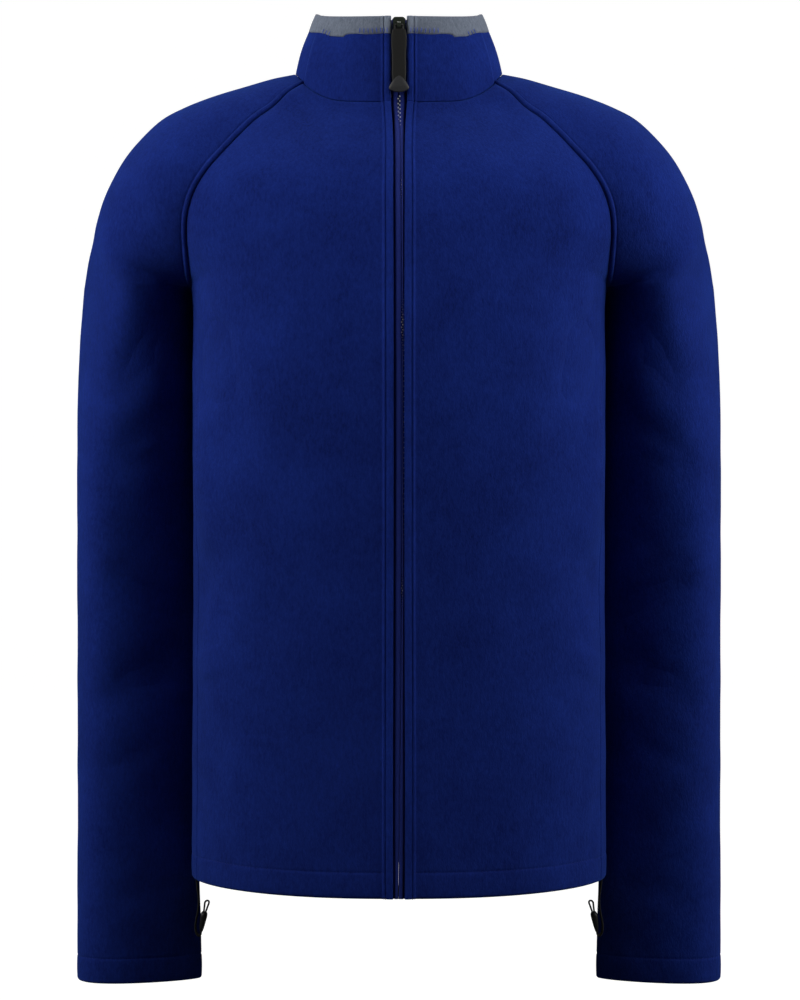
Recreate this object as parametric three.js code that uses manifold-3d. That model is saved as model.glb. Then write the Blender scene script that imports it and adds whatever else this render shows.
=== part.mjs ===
// Fleece zip jacket in its worn, hollow shape, in millimetres.
// +Z is up, the front is towards -Y and +X is on the wearer's left.
// The origin is on the mid plane, level with the shoulders where the collar starts.
import * as THREE from 'three';
import { mergeVertices } from 'three/addons/utils/BufferGeometryUtils.js';
import Module from 'manifold-3d';

// Cloth and seams
const CLOTH = 2.4; // one layer of fleece
const FOLDED_HEM = 4.6; // fleece turned up on itself at the hem and the cuffs
const FOLD_HEIGHT = 20; // height of the turned-up hem and cuffs
const FOLD_STEP = 2; // height over which the turned-up layer ends
const SEAM_GAP = 0.3; // between sewn pieces
const COLLAR_GAP = 0.5; // the collar's own share of its seam, where three pieces turn at once
const FACING = 1.6; // grey inner collar cloth
const TAPE = 0.9; // zip tape

// Main heights and levels
const HEM_FRONT = -637;
const HEM_SIDE_RISE = 5.5; // the hem is this much higher at the sides
const HEM_BACK_RISE = 3;
const SAG_ENDS = -480; // above this the rows of the body lie level
const ARMPIT = -161.5;
const NECK_FRONT = -22;
const CUFF = -719.5;
const COLLAR_BAND = 14.8; // height of the grey cloth turned over the collar's top

// Centre front
const EDGE_BAND = 7.4; // width of the topstitched front edge
const EDGE_BAND_FOOT = 1.2; // width of its step down to the panel
const EDGE_BAND_RAISE = 1.0; // height of the second layer at the front edge
const WELT = 3.8; // width of the raised seam roll along the raglan seam
const WELT_FOOT = 1.3;
const WELT_RAISE = 1.3;

// Squareness of the body's level sections: 2 is an ellipse, more is squarer
const SQUARENESS = 2.4;

// Column names and rows of the tables that the surfaces are worked out from
function table(columns, rows) {
  return rows.map((row) => Object.fromEntries(columns.map((name, i) => [name, row[i]])));
}

// The body below the armpit: half width, and depth in front of and behind the mid plane
const BODY = table(['z', 'half', 'front', 'back'], [
  [-637, 165.0, 118, 110],
  [-560, 165.0, 117, 109],
  [-480, 164.6, 117, 107],
  [-400, 164.2, 118, 106],
  [-320, 164.2, 120, 109],
  [-240, 164.6, 122, 114],
  [-161.5, 165.3, 119.5, 118.5],
  [-116, 172, 113.5, 118],
  [-60, 165, 95, 106],
  [-22, 130, 70.5, 89],
  [8, 84, 54, 73],
]);

// Where the side seam runs, as an angle round the body from centre front, in degrees
const SIDE_SEAM = table(['z', 'angle'], [
  [-637, 73],
  [-353, 72.5],
  [-286, 72],
  [-240, 77],
  [-200, 84],
  [-161.5, 92],
]);

// Raglan seams from the armpit to the collar, on the wearer's left
const FRONT_RAGLAN = table(['x', 'y', 'z'], [
  [165.3, 6, -161.5],
  [165.0, -10, -158.5],
  [165.0, -26, -150],
  [165.6, -40, -138],
  [166.5, -52, -121.5],
  [164.9, -60, -105.4],
  [158.3, -63.3, -87],
  [149.1, -63, -72.8],
  [136.7, -61, -58.6],
  [124.4, -57.5, -44.9],
  [112.0, -53.5, -32.7],
  [99.7, -49, -23.5],
  [87.3, -43, -11],
  [75.0, -34, -2.8],
]);
const BACK_RAGLAN = table(['x', 'y', 'z'], [
  [165.3, 6, -161.5],
  [165.0, 21, -159],
  [163.0, 38, -149],
  [160.0, 55, -133],
  [155.0, 67, -112],
  [147.0, 74, -90],
  [135.0, 76.5, -69],
  [121.0, 75, -50],
  [106.0, 71, -33],
  [91.0, 65, -18],
  [76.0, 58, -4],
  [62.0, 50, 8],
]);

// The line over the shoulder and down the outside of the sleeve, from the armpit's level to the collar
const SHOULDER = table(['x', 'y', 'z'], [
  [254.6, 29, -161.5],
  [250.4, 25, -138.2],
  [246.1, 22, -122.2],
  [241.9, 20, -106.3],
  [236.8, 18, -90.3],
  [229.5, 17, -74.3],
  [219.7, 15, -58.4],
  [205.9, 14, -42.5],
  [188.1, 12, -26.6],
  [172.7, 10, -18.8],
  [153.3, 8, -11],
  [128.2, 5, -3.4],
  [100.9, 2, 4.3],
  [82.6, 0, 8],
]);

// How the sleeve's sections leave the front and back seams (fx.. and bx..),
// and how wide they turn at the shoulder line
const CAP = table(['s', 'fx', 'fy', 'fz', 'fTurn', 'bx', 'by', 'bz', 'bTurn'], [
  [0, 0, -80, 0, 80, 0, 84, 0, 80],
  [0.13, 12, -45, 4, 72, 12, 42, 4, 74],
  [0.25, 24, -26, 10, 66, 25, 20, 8, 66],
  [0.4, 30, -6, 22, 56, 32, 4, 20, 54],
  [0.6, 24, 10, 30, 46, 26, -6, 30, 44],
  [0.8, 14, 12, 20, 32, 14, -16, 24, 34],
  [1, 5, 12, 6, 14, 12, -14, 2, 20],
]);

// Level sections of the hanging sleeve: inner and outer edge, and half depth
const SLEEVE = table(['z', 'inner', 'innerY', 'outer', 'outerY', 'depth'], [
  [-719.5, 160.2, 35, 260.3, 36, 36],
  [-662, 160.8, 35, 260.8, 38, 38],
  [-636, 162.0, 36, 260.8, 39, 39],
  [-580, 162.2, 37, 260.8, 40, 42],
  [-500, 161.9, 38, 260.8, 41, 45],
  [-400, 161.8, 38, 260.8, 41, 50],
  [-300, 162.0, 37, 260.8, 41, 55],
  [-240, 162.7, 29, 260.4, 39, 59],
  [-200, 164.7, 19, 258.6, 35, 61],
  [-161.5, 166.0, 6, 254.6, 29, 62],
]);
const ROUND_ARM = 4 / 3; // a cubic curve with arms this many times its half depth turns a half round

// The neck seam from centre front round to the raglan seam, and from there across the back
const NECK_FRONT_CURVE = table(['x', 'y', 'z'], [
  [0, -70, -22],
  [26, -67.5, -21.6],
  [51.6, -58, -19],
  [69.2, -43, -9.6],
  [75.0, -34, -2.8],
]);
const NECK_BACK_CURVE = table(['x', 'y', 'z'], [
  [62, 50, 8],
  [36, 66, 6.6],
  [0, 73, 5.6],
]);
// Share of the raglan seam's length over which a panel's rows bend into the neck seam
const NECK_BLEND = 0.55;

// The collar's top edge
const COLLAR_TOP = { half: 66.5, front: 61, back: 57, squareness: 2.15, zFront: 46, zSide: 57, zBack: 60 };
const COLLAR_SWELL = 1.2; // how far the collar stands out of the straight line from base to top

// Half the distance between the two front edges, and where the zip's slit lies
const FRONT_EDGE = table(['z', 'half', 'slit'], [
  [-637, 4.4, -0.6],
  [-560, 4.6, 0.6],
  [-480, 4.7, 1.6],
  [-100, 4.7, 1.8],
  [-50, 4.8, 1.2],
  [-34, 5.4, 0.3],
  [-22, 6.3, 0],
  [60, 6.4, 0],
]);

// Pocket mouth in the side seam
const POCKET = { top: -238, bottom: -354, swell: 3.6, draw: 2.2 };
const POCKET_CLOTH = 1.4; // the strip of pocket cloth behind the mouth
const POCKET_GAP = 0.45; // between it and the back panel that it lies on
const POCKET_REACH = 14; // how far the strip runs forwards under the front
const POCKET_SINK = 2.2; // how much deeper its front edge lies

// Broad soft folds: where each starts and ends, on sleeve (turn 0 to 1 round it) or body (angle in degrees)
const SLEEVE_FOLDS = table(['turn0', 'z0', 'turn1', 'z1', 'width', 'depth'], [
  [0.12, -186, 0.30, -250, 15, 2.6],
  [0.08, -250, 0.34, -318, 17, 2.2],
  [0.30, -392, 0.06, -428, 16, 3.0],
  [0.10, -455, 0.36, -500, 18, 2.4],
  [0.62, -230, 0.86, -292, 17, 2.4],
  [0.66, -420, 0.92, -462, 18, 2.6],
  [0.40, -560, 0.14, -604, 18, 2.0],
  [0.70, -590, 0.90, -640, 18, 2.0],
]);
const BODY_FOLDS = table(['angle0', 'z0', 'angle1', 'z1', 'width', 'depth'], [
  [62, -190, 40, -300, 16, 2.2],
  [66, -372, 50, -470, 18, 1.8],
  [60, -500, 56, -620, 20, 1.8],
  [118, -190, 140, -300, 18, 2.4],
  [150, -380, 118, -430, 20, 2.8],
  [120, -500, 126, -620, 20, 2.2],
]);

// Rows and columns of the walls
const BODY_ROWS = [-585, -530, -480, -435, -395, -354, -330, -306, -282, -260, -238, -200];
const RAGLAN_STEPS = 11;
const SLEEVE_ROWS = [-660, -622, -585, -548, -511, -474, -437, -400, -363, -326, -289, -252, -220, -190];
const FRONT_COLUMNS = 8;
const BACK_COLUMNS = 16;
const SLEEVE_TURNS = 5; // columns between the welt and the shoulder line, front and back
const COLLAR_ROWS = 4;

const COLOURS = { fleece: 0x11257a, grey: 0x6a7080, black: 0x16171a, tape: 0x131f5c };
const DEGREE = Math.PI / 180;

// A smooth curve through a table's rows, read at any value of its key column
function smoothReader(rows, key) {
  const last = rows.length - 1;
  const secant = (i, column) => (rows[i + 1][column] - rows[i][column]) / (rows[i + 1][key] - rows[i][key]);
  const slope = (i, column) => {
    if (i === 0) return secant(0, column);
    if (i === last) return secant(last - 1, column);
    const before = rows[i][key] - rows[i - 1][key];
    const after = rows[i + 1][key] - rows[i][key];
    return (secant(i - 1, column) * after + secant(i, column) * before) / (before + after);
  };
  return (value, column) => {
    let i = 0;
    while (i < last - 1 && value > rows[i + 1][key]) i += 1;
    const span = rows[i + 1][key] - rows[i][key];
    const t = THREE.MathUtils.clamp((value - rows[i][key]) / span, 0, 1);
    const ease = t * t * (3 - 2 * t);
    const start = t * (1 - t) * (1 - t) * span * slope(i, column);
    const end = t * t * (t - 1) * span * slope(i + 1, column);
    return rows[i][column] * (1 - ease) + rows[i + 1][column] * ease + start + end;
  };
}

// The same for a line in space, read at a share of its length
function lineReader(rows) {
  let along = 0;
  const marked = rows.map((row, i) => {
    if (i > 0) along += Math.hypot(row.x - rows[i - 1].x, row.y - rows[i - 1].y, row.z - rows[i - 1].z);
    return { ...row, s: along };
  });
  const read = smoothReader(marked.map((row) => ({ ...row, s: row.s / along })), 's');
  return (s) => new THREE.Vector3(read(s, 'x'), read(s, 'y'), read(s, 'z'));
}

const bodyAt = smoothReader(BODY, 'z');
const sideSeamAt = smoothReader(SIDE_SEAM, 'z');
const frontEdgeAt = smoothReader(FRONT_EDGE, 'z');
const capAt = smoothReader(CAP, 's');
const sleeveAt = smoothReader(SLEEVE, 'z');
const frontRaglanByZ = smoothReader(FRONT_RAGLAN, 'z');
const backRaglanByZ = smoothReader(BACK_RAGLAN, 'z');
const frontRaglan = lineReader(FRONT_RAGLAN);
const backRaglan = lineReader(BACK_RAGLAN);
const shoulder = lineReader(SHOULDER);
const neckFront = lineReader(NECK_FRONT_CURVE);
const neckBack = lineReader(NECK_BACK_CURVE);

const smoothStep = (t) => THREE.MathUtils.smoothstep(t, 0, 1);
const mix = THREE.MathUtils.lerp;

// The body's half width at a height: above the armpit it makes the section pass through the raglan seam
function halfWidth(z, isFront) {
  if (z <= ARMPIT) return bodyAt(z, 'half');
  const seam = isFront ? frontRaglanByZ : backRaglanByZ;
  const share = Math.abs(seam(z, 'y')) / bodyAt(z, isFront ? 'front' : 'back');
  return seam(z, 'x') / Math.pow(1 - Math.pow(share, SQUARENESS), 1 / SQUARENESS);
}

// A point of the body's form on the wearer's left.
// Angle 0 is at centre front, 90 degrees at the side and 180 at the back.
function bodyPoint(angle, z) {
  const isFront = angle <= Math.PI / 2;
  const power = 2 / SQUARENESS;
  const depth = bodyAt(z, isFront ? 'front' : 'back');
  const x = halfWidth(z, isFront) * Math.pow(Math.abs(Math.sin(angle)), power);
  const y = (isFront ? -1 : 1) * depth * Math.pow(Math.abs(Math.cos(angle)), power);
  return new THREE.Vector3(x, y, z);
}

// The angle at which the form passes a point, from its depth y
function angleOfDepth(y, z) {
  const depth = bodyAt(z, y <= 0 ? 'front' : 'back');
  const fromFront = Math.acos(Math.pow(Math.min(1, Math.abs(y) / depth), SQUARENESS / 2));
  return y <= 0 ? fromFront : Math.PI - fromFront;
}

// The angle at which the front of the form is a distance x from the mid plane
function angleOfWidth(x, z) {
  return Math.asin(Math.pow(x / halfWidth(z, true), SQUARENESS / 2));
}

// How far the hem's droop lifts a point: nothing at centre front, most at the sides
function droop(angle, z) {
  const share = THREE.MathUtils.clamp((SAG_ENDS - z) / (SAG_ENDS - HEM_FRONT), 0, 1);
  const side = Math.sin(angle) ** 2 * HEM_SIDE_RISE;
  const back = angle > Math.PI / 2 ? Math.cos(angle) ** 2 * HEM_BACK_RISE : 0;
  return share * (side + back);
}

// Depth of a table's soft troughs at a place, each a smooth groove that fades at its ends
function troughs(folds, a, z, names, scale) {
  let depth = 0;
  for (const fold of folds) {
    const from = new THREE.Vector2(fold[names[0]] * scale, fold.z0);
    const to = new THREE.Vector2(fold[names[1]] * scale, fold.z1);
    const along = to.clone().sub(from);
    const here = new THREE.Vector2(a * scale, z).sub(from);
    const t = here.dot(along) / along.lengthSq();
    const off = Math.abs(here.cross(along)) / along.length();
    const fade = smoothStep((t + 0.25) / 0.5) * smoothStep((1.25 - t) / 0.5);
    depth += fold.depth * fade * Math.exp(-((off / fold.width) ** 2));
  }
  return depth;
}
const BODY_ROUND = 2.2; // millimetres round the body for each degree
const SLEEVE_ROUND = 280; // millimetres round the sleeve
const bodyTrough = (angle, z) => troughs(BODY_FOLDS, angle / DEGREE, z, ['angle0', 'angle1'], BODY_ROUND);
const sleeveTrough = (turn, z) => troughs(SLEEVE_FOLDS, turn, z, ['turn0', 'turn1'], SLEEVE_ROUND);

// Rows of the body below the armpit, with the turned-up hem's edge, and its wall at each
function bodyRows() {
  const hem = [
    { z: HEM_FRONT, wall: FOLDED_HEM },
    { z: HEM_FRONT + FOLD_HEIGHT, wall: FOLDED_HEM },
    { z: HEM_FRONT + FOLD_HEIGHT + FOLD_STEP, wall: CLOTH },
  ];
  const level = [...BODY_ROWS, ARMPIT].map((z) => ({ z, wall: CLOTH }));
  return [...hem, ...level];
}

// Shares of the raglan seam's length at which its rows lie, above the armpit
const raglanShares = Array.from({ length: RAGLAN_STEPS }, (_, i) => (i + 1) / RAGLAN_STEPS);

// A place on a grid: its base point, how far its outer face is raised, its trough and its wall
const place = (point, wall, raise = 0, trough = 0) => ({ point, wall, raise, trough });

// Angles of a front panel's columns between its front edge and its side, with the doubled edge first
function frontAngles(edge, z, sideAngle) {
  const foot = edge + EDGE_BAND + EDGE_BAND_FOOT;
  const start = angleOfWidth(foot, z);
  const shares = Array.from({ length: FRONT_COLUMNS }, (_, i) => (i + 1) / FRONT_COLUMNS);
  const rest = shares.map((share) => mix(start, sideAngle, share));
  return [angleOfWidth(edge, z), angleOfWidth(edge + EDGE_BAND, z), start, ...rest];
}

// The pocket mouth: how open it is at a height, 0 to 1
function mouthOpen(z) {
  const t = (z - POCKET.bottom) / (POCKET.top - POCKET.bottom);
  return t <= 0 || t >= 1 ? 0 : Math.sin(Math.PI * t) ** 1.2;
}

// One front panel, rows from hem to neck, columns from the front edge to the side
function frontGrid() {
  const raiseOf = (i) => (i < 2 ? EDGE_BAND_RAISE : 0);
  const lower = bodyRows().map(({ z, wall }) => {
    const seamAngle = sideSeamAt(z, 'angle') * DEGREE;
    const angles = frontAngles(frontEdgeAt(z, 'half'), z, seamAngle);
    return angles.map((angle, i) => {
      const last = angles.length - 1;
      const open = mouthOpen(z) * (i === last ? 1 : i === last - 1 ? 0.45 : 0);
      const point = bodyPoint(angle - (open * POCKET.draw) / 150, z);
      point.z += droop(angle, z);
      if (z === ARMPIT && i === last) point.copy(frontRaglan(0));
      const fade = i === 0 || i === last ? 0 : 1;
      return place(point, wall, raiseOf(i), fade * bodyTrough(angle, z) - open * POCKET.swell);
    });
  });
  const upper = raglanShares.map((s) => {
    const seam = frontRaglan(s);
    const centre = mix(ARMPIT, NECK_FRONT, s);
    const angles = frontAngles(frontEdgeAt(centre, 'half'), centre, angleOfDepth(seam.y, seam.z));
    const bend = smoothStep((s - 1 + NECK_BLEND) / NECK_BLEND);
    const row = angles.map((angle) => {
      const u = (angle - angles[0]) / (angles.at(-1) - angles[0]);
      return { u, point: bodyPoint(angle, mix(centre, seam.z, u)) };
    });
    const slip = seam.clone().sub(row.at(-1).point);
    return row.map(({ u, point }, i) => {
      point.addScaledVector(neckOffset(i), bend * (1 - u ** 3));
      point.addScaledVector(slip, u ** 3);
      return place(point, CLOTH, raiseOf(i), u < 1 ? bodyTrough(angles[i], point.z) : 0);
    });
  });
  return [...lower, ...upper];
}

// How far the neck seam lies from the plain form's last row, at a column of a front panel
function neckOffset(i) {
  const seam = frontRaglan(1);
  const angles = frontAngles(frontEdgeAt(NECK_FRONT, 'half'), NECK_FRONT, angleOfDepth(seam.y, seam.z));
  const share = (angles[i] - angles[0]) / (angles.at(-1) - angles[0]);
  const plain = bodyPoint(angles[i], mix(NECK_FRONT, seam.z, share));
  const edge = frontEdgeAt(NECK_FRONT, 'half');
  const start = edge / lineLength(NECK_FRONT_CURVE);
  const across = (plain.x - edge) / (seam.x - edge);
  return neckFront(mix(start, 1, neckShare(across))).sub(plain);
}

const lineLength = (rows) => rows.reduce((sum, row, i) => {
  if (i === 0) return 0;
  return sum + Math.hypot(row.x - rows[i - 1].x, row.y - rows[i - 1].y, row.z - rows[i - 1].z);
}, 0);

// Equal steps across the front are longer steps along the neck seam near the raglan seam
const neckShare = (across) => across * (0.72 + 0.28 * across);

// The back panel, rows from hem to neck, columns from the wearer's left side to the right
function backGrid() {
  const columns = Array.from({ length: BACK_COLUMNS + 1 }, (_, i) => 1 - (2 * i) / BACK_COLUMNS);
  const mirrored = (point, side) => new THREE.Vector3(side < 0 ? -point.x : point.x, point.y, point.z);
  const lower = bodyRows().map(({ z, wall }) => columns.map((side) => {
    const seamAngle = sideSeamAt(z, 'angle') * DEGREE;
    const angle = mix(Math.PI, seamAngle, Math.abs(side));
    const point = bodyPoint(angle, z);
    point.z += droop(angle, z);
    if (z === ARMPIT && Math.abs(side) === 1) point.copy(backRaglan(0));
    return place(mirrored(point, side), wall, 0, Math.abs(side) < 1 ? bodyTrough(angle, z) : 0);
  }));
  const top = backRaglan(1);
  const upper = raglanShares.map((s) => {
    const seam = backRaglan(s);
    const centre = mix(ARMPIT, neckBack(1).z, s);
    const bend = smoothStep((s - 1 + NECK_BLEND) / NECK_BLEND);
    const seamAngle = angleOfDepth(seam.y, seam.z);
    const slip = seam.clone().sub(bodyPoint(seamAngle, seam.z));
    return columns.map((side) => {
      const away = Math.abs(side);
      const angle = mix(Math.PI, seamAngle, away);
      const point = bodyPoint(angle, mix(centre, seam.z, away));
      const lastAngle = mix(Math.PI, angleOfDepth(top.y, top.z), away);
      const plain = bodyPoint(lastAngle, mix(neckBack(1).z, top.z, away));
      point.addScaledVector(neckBack(1 - away).sub(plain), bend * (1 - away ** 3));
      point.addScaledVector(slip, away ** 3);
      return place(mirrored(point, side), CLOTH, 0, away < 1 ? bodyTrough(angle, point.z) : 0);
    });
  });
  return [...lower, ...upper];
}

// A cubic curve's point at t
function cubic(a, armA, armB, b, t) {
  const s = 1 - t;
  const point = a.clone().multiplyScalar(s * s * s);
  point.addScaledVector(a.clone().add(armA), 3 * s * s * t);
  point.addScaledVector(b.clone().add(armB), 3 * s * t * t);
  return point.addScaledVector(b, t * t * t);
}

// One section of the sleeve: its two ends, its outermost point and the arms of the two curves between them
function sleeveRing(z) {
  const depth = sleeveAt(z, 'depth');
  const inner = new THREE.Vector3(sleeveAt(z, 'inner'), sleeveAt(z, 'innerY'), z);
  const outer = new THREE.Vector3(sleeveAt(z, 'outer'), sleeveAt(z, 'outerY'), z);
  const arm = new THREE.Vector3(0, ROUND_ARM * depth, 0);
  const forward = arm.clone().negate();
  const arms = { frontArm: forward, outerFront: forward, backArm: arm, outerBack: arm };
  return { front: inner, back: inner.clone(), outer, ...arms };
}
function sleeveCap(s) {
  const arm = (prefix) => new THREE.Vector3(...['x', 'y', 'z'].map((axis) => capAt(s, prefix + axis)));
  return {
    front: frontRaglan(s),
    back: backRaglan(s),
    outer: shoulder(s),
    frontArm: arm('f'),
    outerFront: new THREE.Vector3(0, -capAt(s, 'fTurn'), 0),
    backArm: arm('b'),
    outerBack: new THREE.Vector3(0, capAt(s, 'bTurn'), 0),
  };
}

// One sleeve, rows from cuff to collar, columns from the front seam round the outside to the back seam
function sleeveGrid() {
  const cuff = [
    { z: CUFF, wall: FOLDED_HEM },
    { z: CUFF + FOLD_HEIGHT, wall: FOLDED_HEM },
    { z: CUFF + FOLD_HEIGHT + FOLD_STEP, wall: CLOTH },
  ];
  const lower = [...cuff, ...[...SLEEVE_ROWS, ARMPIT].map((z) => ({ z, wall: CLOTH }))];
  const rings = lower.map(({ z, wall }) => ({ ring: sleeveRing(z), wall, z, welt: 0 }));
  const caps = raglanShares.map((s) => {
    const welt = smoothStep(s / 0.2);
    return { ring: sleeveCap(s), wall: CLOTH, z: shoulder(s).z, welt };
  });
  return [...rings, ...caps].map(({ ring, wall, z, welt }) => sleeveRow(ring, wall, z, welt));
}

function sleeveRow(ring, wall, z, welt) {
  const half = (end, endArm, outerArm) => {
    const speed = 3 * endArm.length();
    const start = (WELT + WELT_FOOT) / speed;
    const marks = [0, WELT / speed, start];
    for (let i = 1; i <= SLEEVE_TURNS; i += 1) marks.push(mix(start, 1, i / SLEEVE_TURNS));
    return marks.map((t) => ({ t, point: cubic(end, endArm, outerArm, ring.outer, t) }));
  };
  const front = half(ring.front, ring.frontArm, ring.outerFront);
  const back = half(ring.back, ring.backArm, ring.outerBack).slice(0, -1).reverse();
  const raise = (i, count) => (i < 2 || i > count - 3 ? welt * WELT_RAISE : 0);
  const all = [...front.map(({ t, point }) => ({ turn: t / 2, point })),
    ...back.map(({ t, point }) => ({ turn: 1 - t / 2, point }))];
  return all.map(({ turn, point }, i) => {
    const inside = i === 0 || i === all.length - 1 ? 0 : 1;
    return place(point, wall, raise(i, all.length), inside * sleeveTrough(turn, z));
  });
}

// The same grid on the wearer's other side
function mirrorGrid(grid) {
  return grid.map((row) => row.map((cell) => {
    const { point } = cell;
    return { ...cell, point: new THREE.Vector3(-point.x, point.y, point.z) };
  }));
}

// Where the collar's top edge lies over a point of the neck seam
function collarTop(point) {
  const angle = Math.atan2(Math.abs(point.x) / COLLAR_TOP.half, -point.y / (point.y < 0 ? 70 : 73));
  const power = 2 / COLLAR_TOP.squareness;
  const isFront = angle <= Math.PI / 2;
  const depth = isFront ? -COLLAR_TOP.front : COLLAR_TOP.back;
  const share = Math.cos(angle) ** 2;
  const x = COLLAR_TOP.half * Math.pow(Math.sin(angle), power) * Math.sign(point.x);
  const y = depth * Math.pow(Math.abs(Math.cos(angle)), power);
  const middle = isFront ? COLLAR_TOP.zFront : COLLAR_TOP.zBack;
  return new THREE.Vector3(x, y, mix(COLLAR_TOP.zSide, middle, share));
}

// A point of the collar's outer face, h from 0 at the neck seam to 1 at the top edge
function collarPoint(base, h) {
  const top = collarTop(base);
  if (base.isEdge) top.x = Math.sign(base.x) * Math.abs(base.x);
  const point = base.clone().lerp(top, h);
  const out = new THREE.Vector2(base.x, base.y).normalize();
  const swell = COLLAR_SWELL * Math.sin(Math.PI * h);
  point.x += base.isEdge ? 0 : out.x * swell;
  point.y += out.y * swell;
  return point;
}

// The neck seam's points right round, from the wearer's left front edge by the back to the right front edge
function neckSeam(front, sleeve, back) {
  const cells = [...front.at(-1).slice(0, -1), ...sleeve.at(-1).slice(0, -1)];
  const left = cells.map((cell) => cell.point.clone());
  left.slice(0, 3).forEach((point) => { point.isEdge = true; });
  const across = back.at(-1).map((cell) => cell.point.clone());
  const right = left.map((point) => {
    const other = new THREE.Vector3(-point.x, point.y, point.z);
    other.isEdge = point.isEdge;
    return other;
  });
  return [...left, ...across, ...right.reverse()];
}

const bandShare = (base) => 1 - COLLAR_BAND / base.distanceTo(collarTop(base));

// The blue outer collar, rows from the neck seam to the grey band, columns round the neck
function collarGrid(seam) {
  return Array.from({ length: COLLAR_ROWS }, (_, row) => seam.map((base, i) => {
    const edge = i < 2 || i > seam.length - 3;
    const h = (bandShare(base) * row) / (COLLAR_ROWS - 1);
    return place(collarPoint(base, h), CLOTH - 0.2, edge ? EDGE_BAND_RAISE : 0);
  }));
}

// Outward directions of a grid's points, from its neighbours along rows and columns
function normals(grid, turn) {
  const at = (row, column) => grid[row][column].point;
  return grid.map((row, j) => row.map((_, i) => {
    const up = at(Math.min(j + 1, grid.length - 1), i).clone().sub(at(Math.max(j - 1, 0), i));
    const along = at(j, Math.min(i + 1, row.length - 1)).clone().sub(at(j, Math.max(i - 1, 0)));
    return along.cross(up).normalize().multiplyScalar(turn);
  }));
}

// Where pieces share a seam point they share its direction too, so that their edges stay parallel
const SAME_SPOT = 0.2;
function shareSeamNormals(pieces) {
  const onEdge = (grid, j, i) => j === 0 || j === grid.length - 1 || i === 0 || i === grid[0].length - 1;
  const spots = pieces.flatMap((piece) => piece.grid.flatMap((row, j) => row
    .map((cell, i) => ({ piece, point: cell.point, i, j, own: piece.normals[j][i] }))
    .filter((spot) => onEdge(piece.grid, spot.j, spot.i))));
  for (const spot of spots) {
    const shared = spots.filter((other) => spot.point.distanceToSquared(other.point) < SAME_SPOT ** 2);
    const body = shared.filter((other) => other.piece.name !== 'collar');
    const meetsRaglan = new Set(body.map((other) => other.piece)).size > 1;
    const used = meetsRaglan && spot.piece.name !== 'collar' ? body : shared;
    const sum = new THREE.Vector3();
    used.forEach((other) => sum.add(other.own));
    spot.piece.normals[spot.j][spot.i] = sum.normalize();
  }
}

// How far a seam point moves back into its own piece, so that sewn pieces stay apart
function seamInset(piece, j, i) {
  const { grid, seams } = piece;
  const rows = grid.length - 1;
  const columns = grid[0].length - 1;
  const here = grid[j][i].point;
  const shift = new THREE.Vector3();
  const pull = (row, column, gap = SEAM_GAP) => {
    const towards = grid[row][column].point.clone().sub(here).normalize();
    shift.addScaledVector(towards, gap / 2);
  };
  if (seams.start && i === 0) pull(j, 1);
  if (seams.end && i === columns) pull(j, columns - 1);
  if (seams.top && j === rows) pull(rows - 1, i);
  if (seams.bottom && j === 0) pull(1, i, COLLAR_GAP);
  return shift;
}

// Outer and inner points of a piece's wall
function wallLayers(piece) {
  const outer = [];
  const inner = [];
  piece.grid.forEach((row, j) => {
    outer.push([]);
    inner.push([]);
    row.forEach((cell, i) => {
      const n = piece.normals[j][i];
      const base = cell.point.clone().add(seamInset(piece, j, i)).addScaledVector(n, -cell.trough);
      outer[j].push(base.clone().addScaledVector(n, cell.raise));
      inner[j].push(base.clone().addScaledVector(n, -cell.wall));
    });
  });
  return { outer, inner };
}

// A closed geometry from loops of points: loop k joins loop k + 1, and the first and last are capped
function loftGeometry(loops) {
  const count = loops[0].length;
  const triangles = [];
  const quad = (a, b, c, d) => triangles.push(a, b, c, a, c, d);
  const index = (loop, i) => loop * count + i;
  for (let k = 0; k < loops.length - 1; k += 1) {
    for (let i = 0; i < count - 1; i += 1) {
      quad(index(k, i), index(k, i + 1), index(k + 1, i + 1), index(k + 1, i));
    }
    // the first edge's face is split from outer to inner point, as the last edge's is, so sewn edges match
    quad(index(k, 0), index(k + 1, 0), index(k + 1, count - 1), index(k, count - 1));
  }
  // the section is an outer run and an inner run of equal length, so its cap is a strip of quads
  const last = loops.length - 1;
  for (let i = 0; i < count / 2 - 1; i += 1) {
    quad(index(0, count - 1 - i), index(0, count - 2 - i), index(0, i + 1), index(0, i));
    quad(index(last, i), index(last, i + 1), index(last, count - 2 - i), index(last, count - 1 - i));
  }
  return closedGeometry(loops.flat(), triangles);
}

// Six times the volume that triangles enclose: positive when their faces point outwards
function signedVolume(points, triangles) {
  let sum = 0;
  for (let t = 0; t < triangles.length; t += 3) {
    const [a, b, c] = [0, 1, 2].map((k) => points[triangles[t + k]]);
    sum += a.dot(b.clone().cross(c));
  }
  return sum;
}

// A geometry whose faces point outwards, whichever way its triangles were listed
function closedGeometry(points, triangles) {
  if (signedVolume(points, triangles) < 0) triangles.reverse();
  const geometry = new THREE.BufferGeometry();
  const positions = points.flatMap((p) => [p.x, p.y, p.z]);
  geometry.setAttribute('position', new THREE.Float32BufferAttribute(positions, 3));
  geometry.setIndex(triangles);
  return geometry;
}

// A piece's closed wall: each row is a loop out along the outer face and back along the inner face
function wallGeometry(piece) {
  const { outer, inner } = wallLayers(piece);
  return loftGeometry(outer.map((row, j) => [...row, ...inner[j].slice().reverse()]));
}

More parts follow.
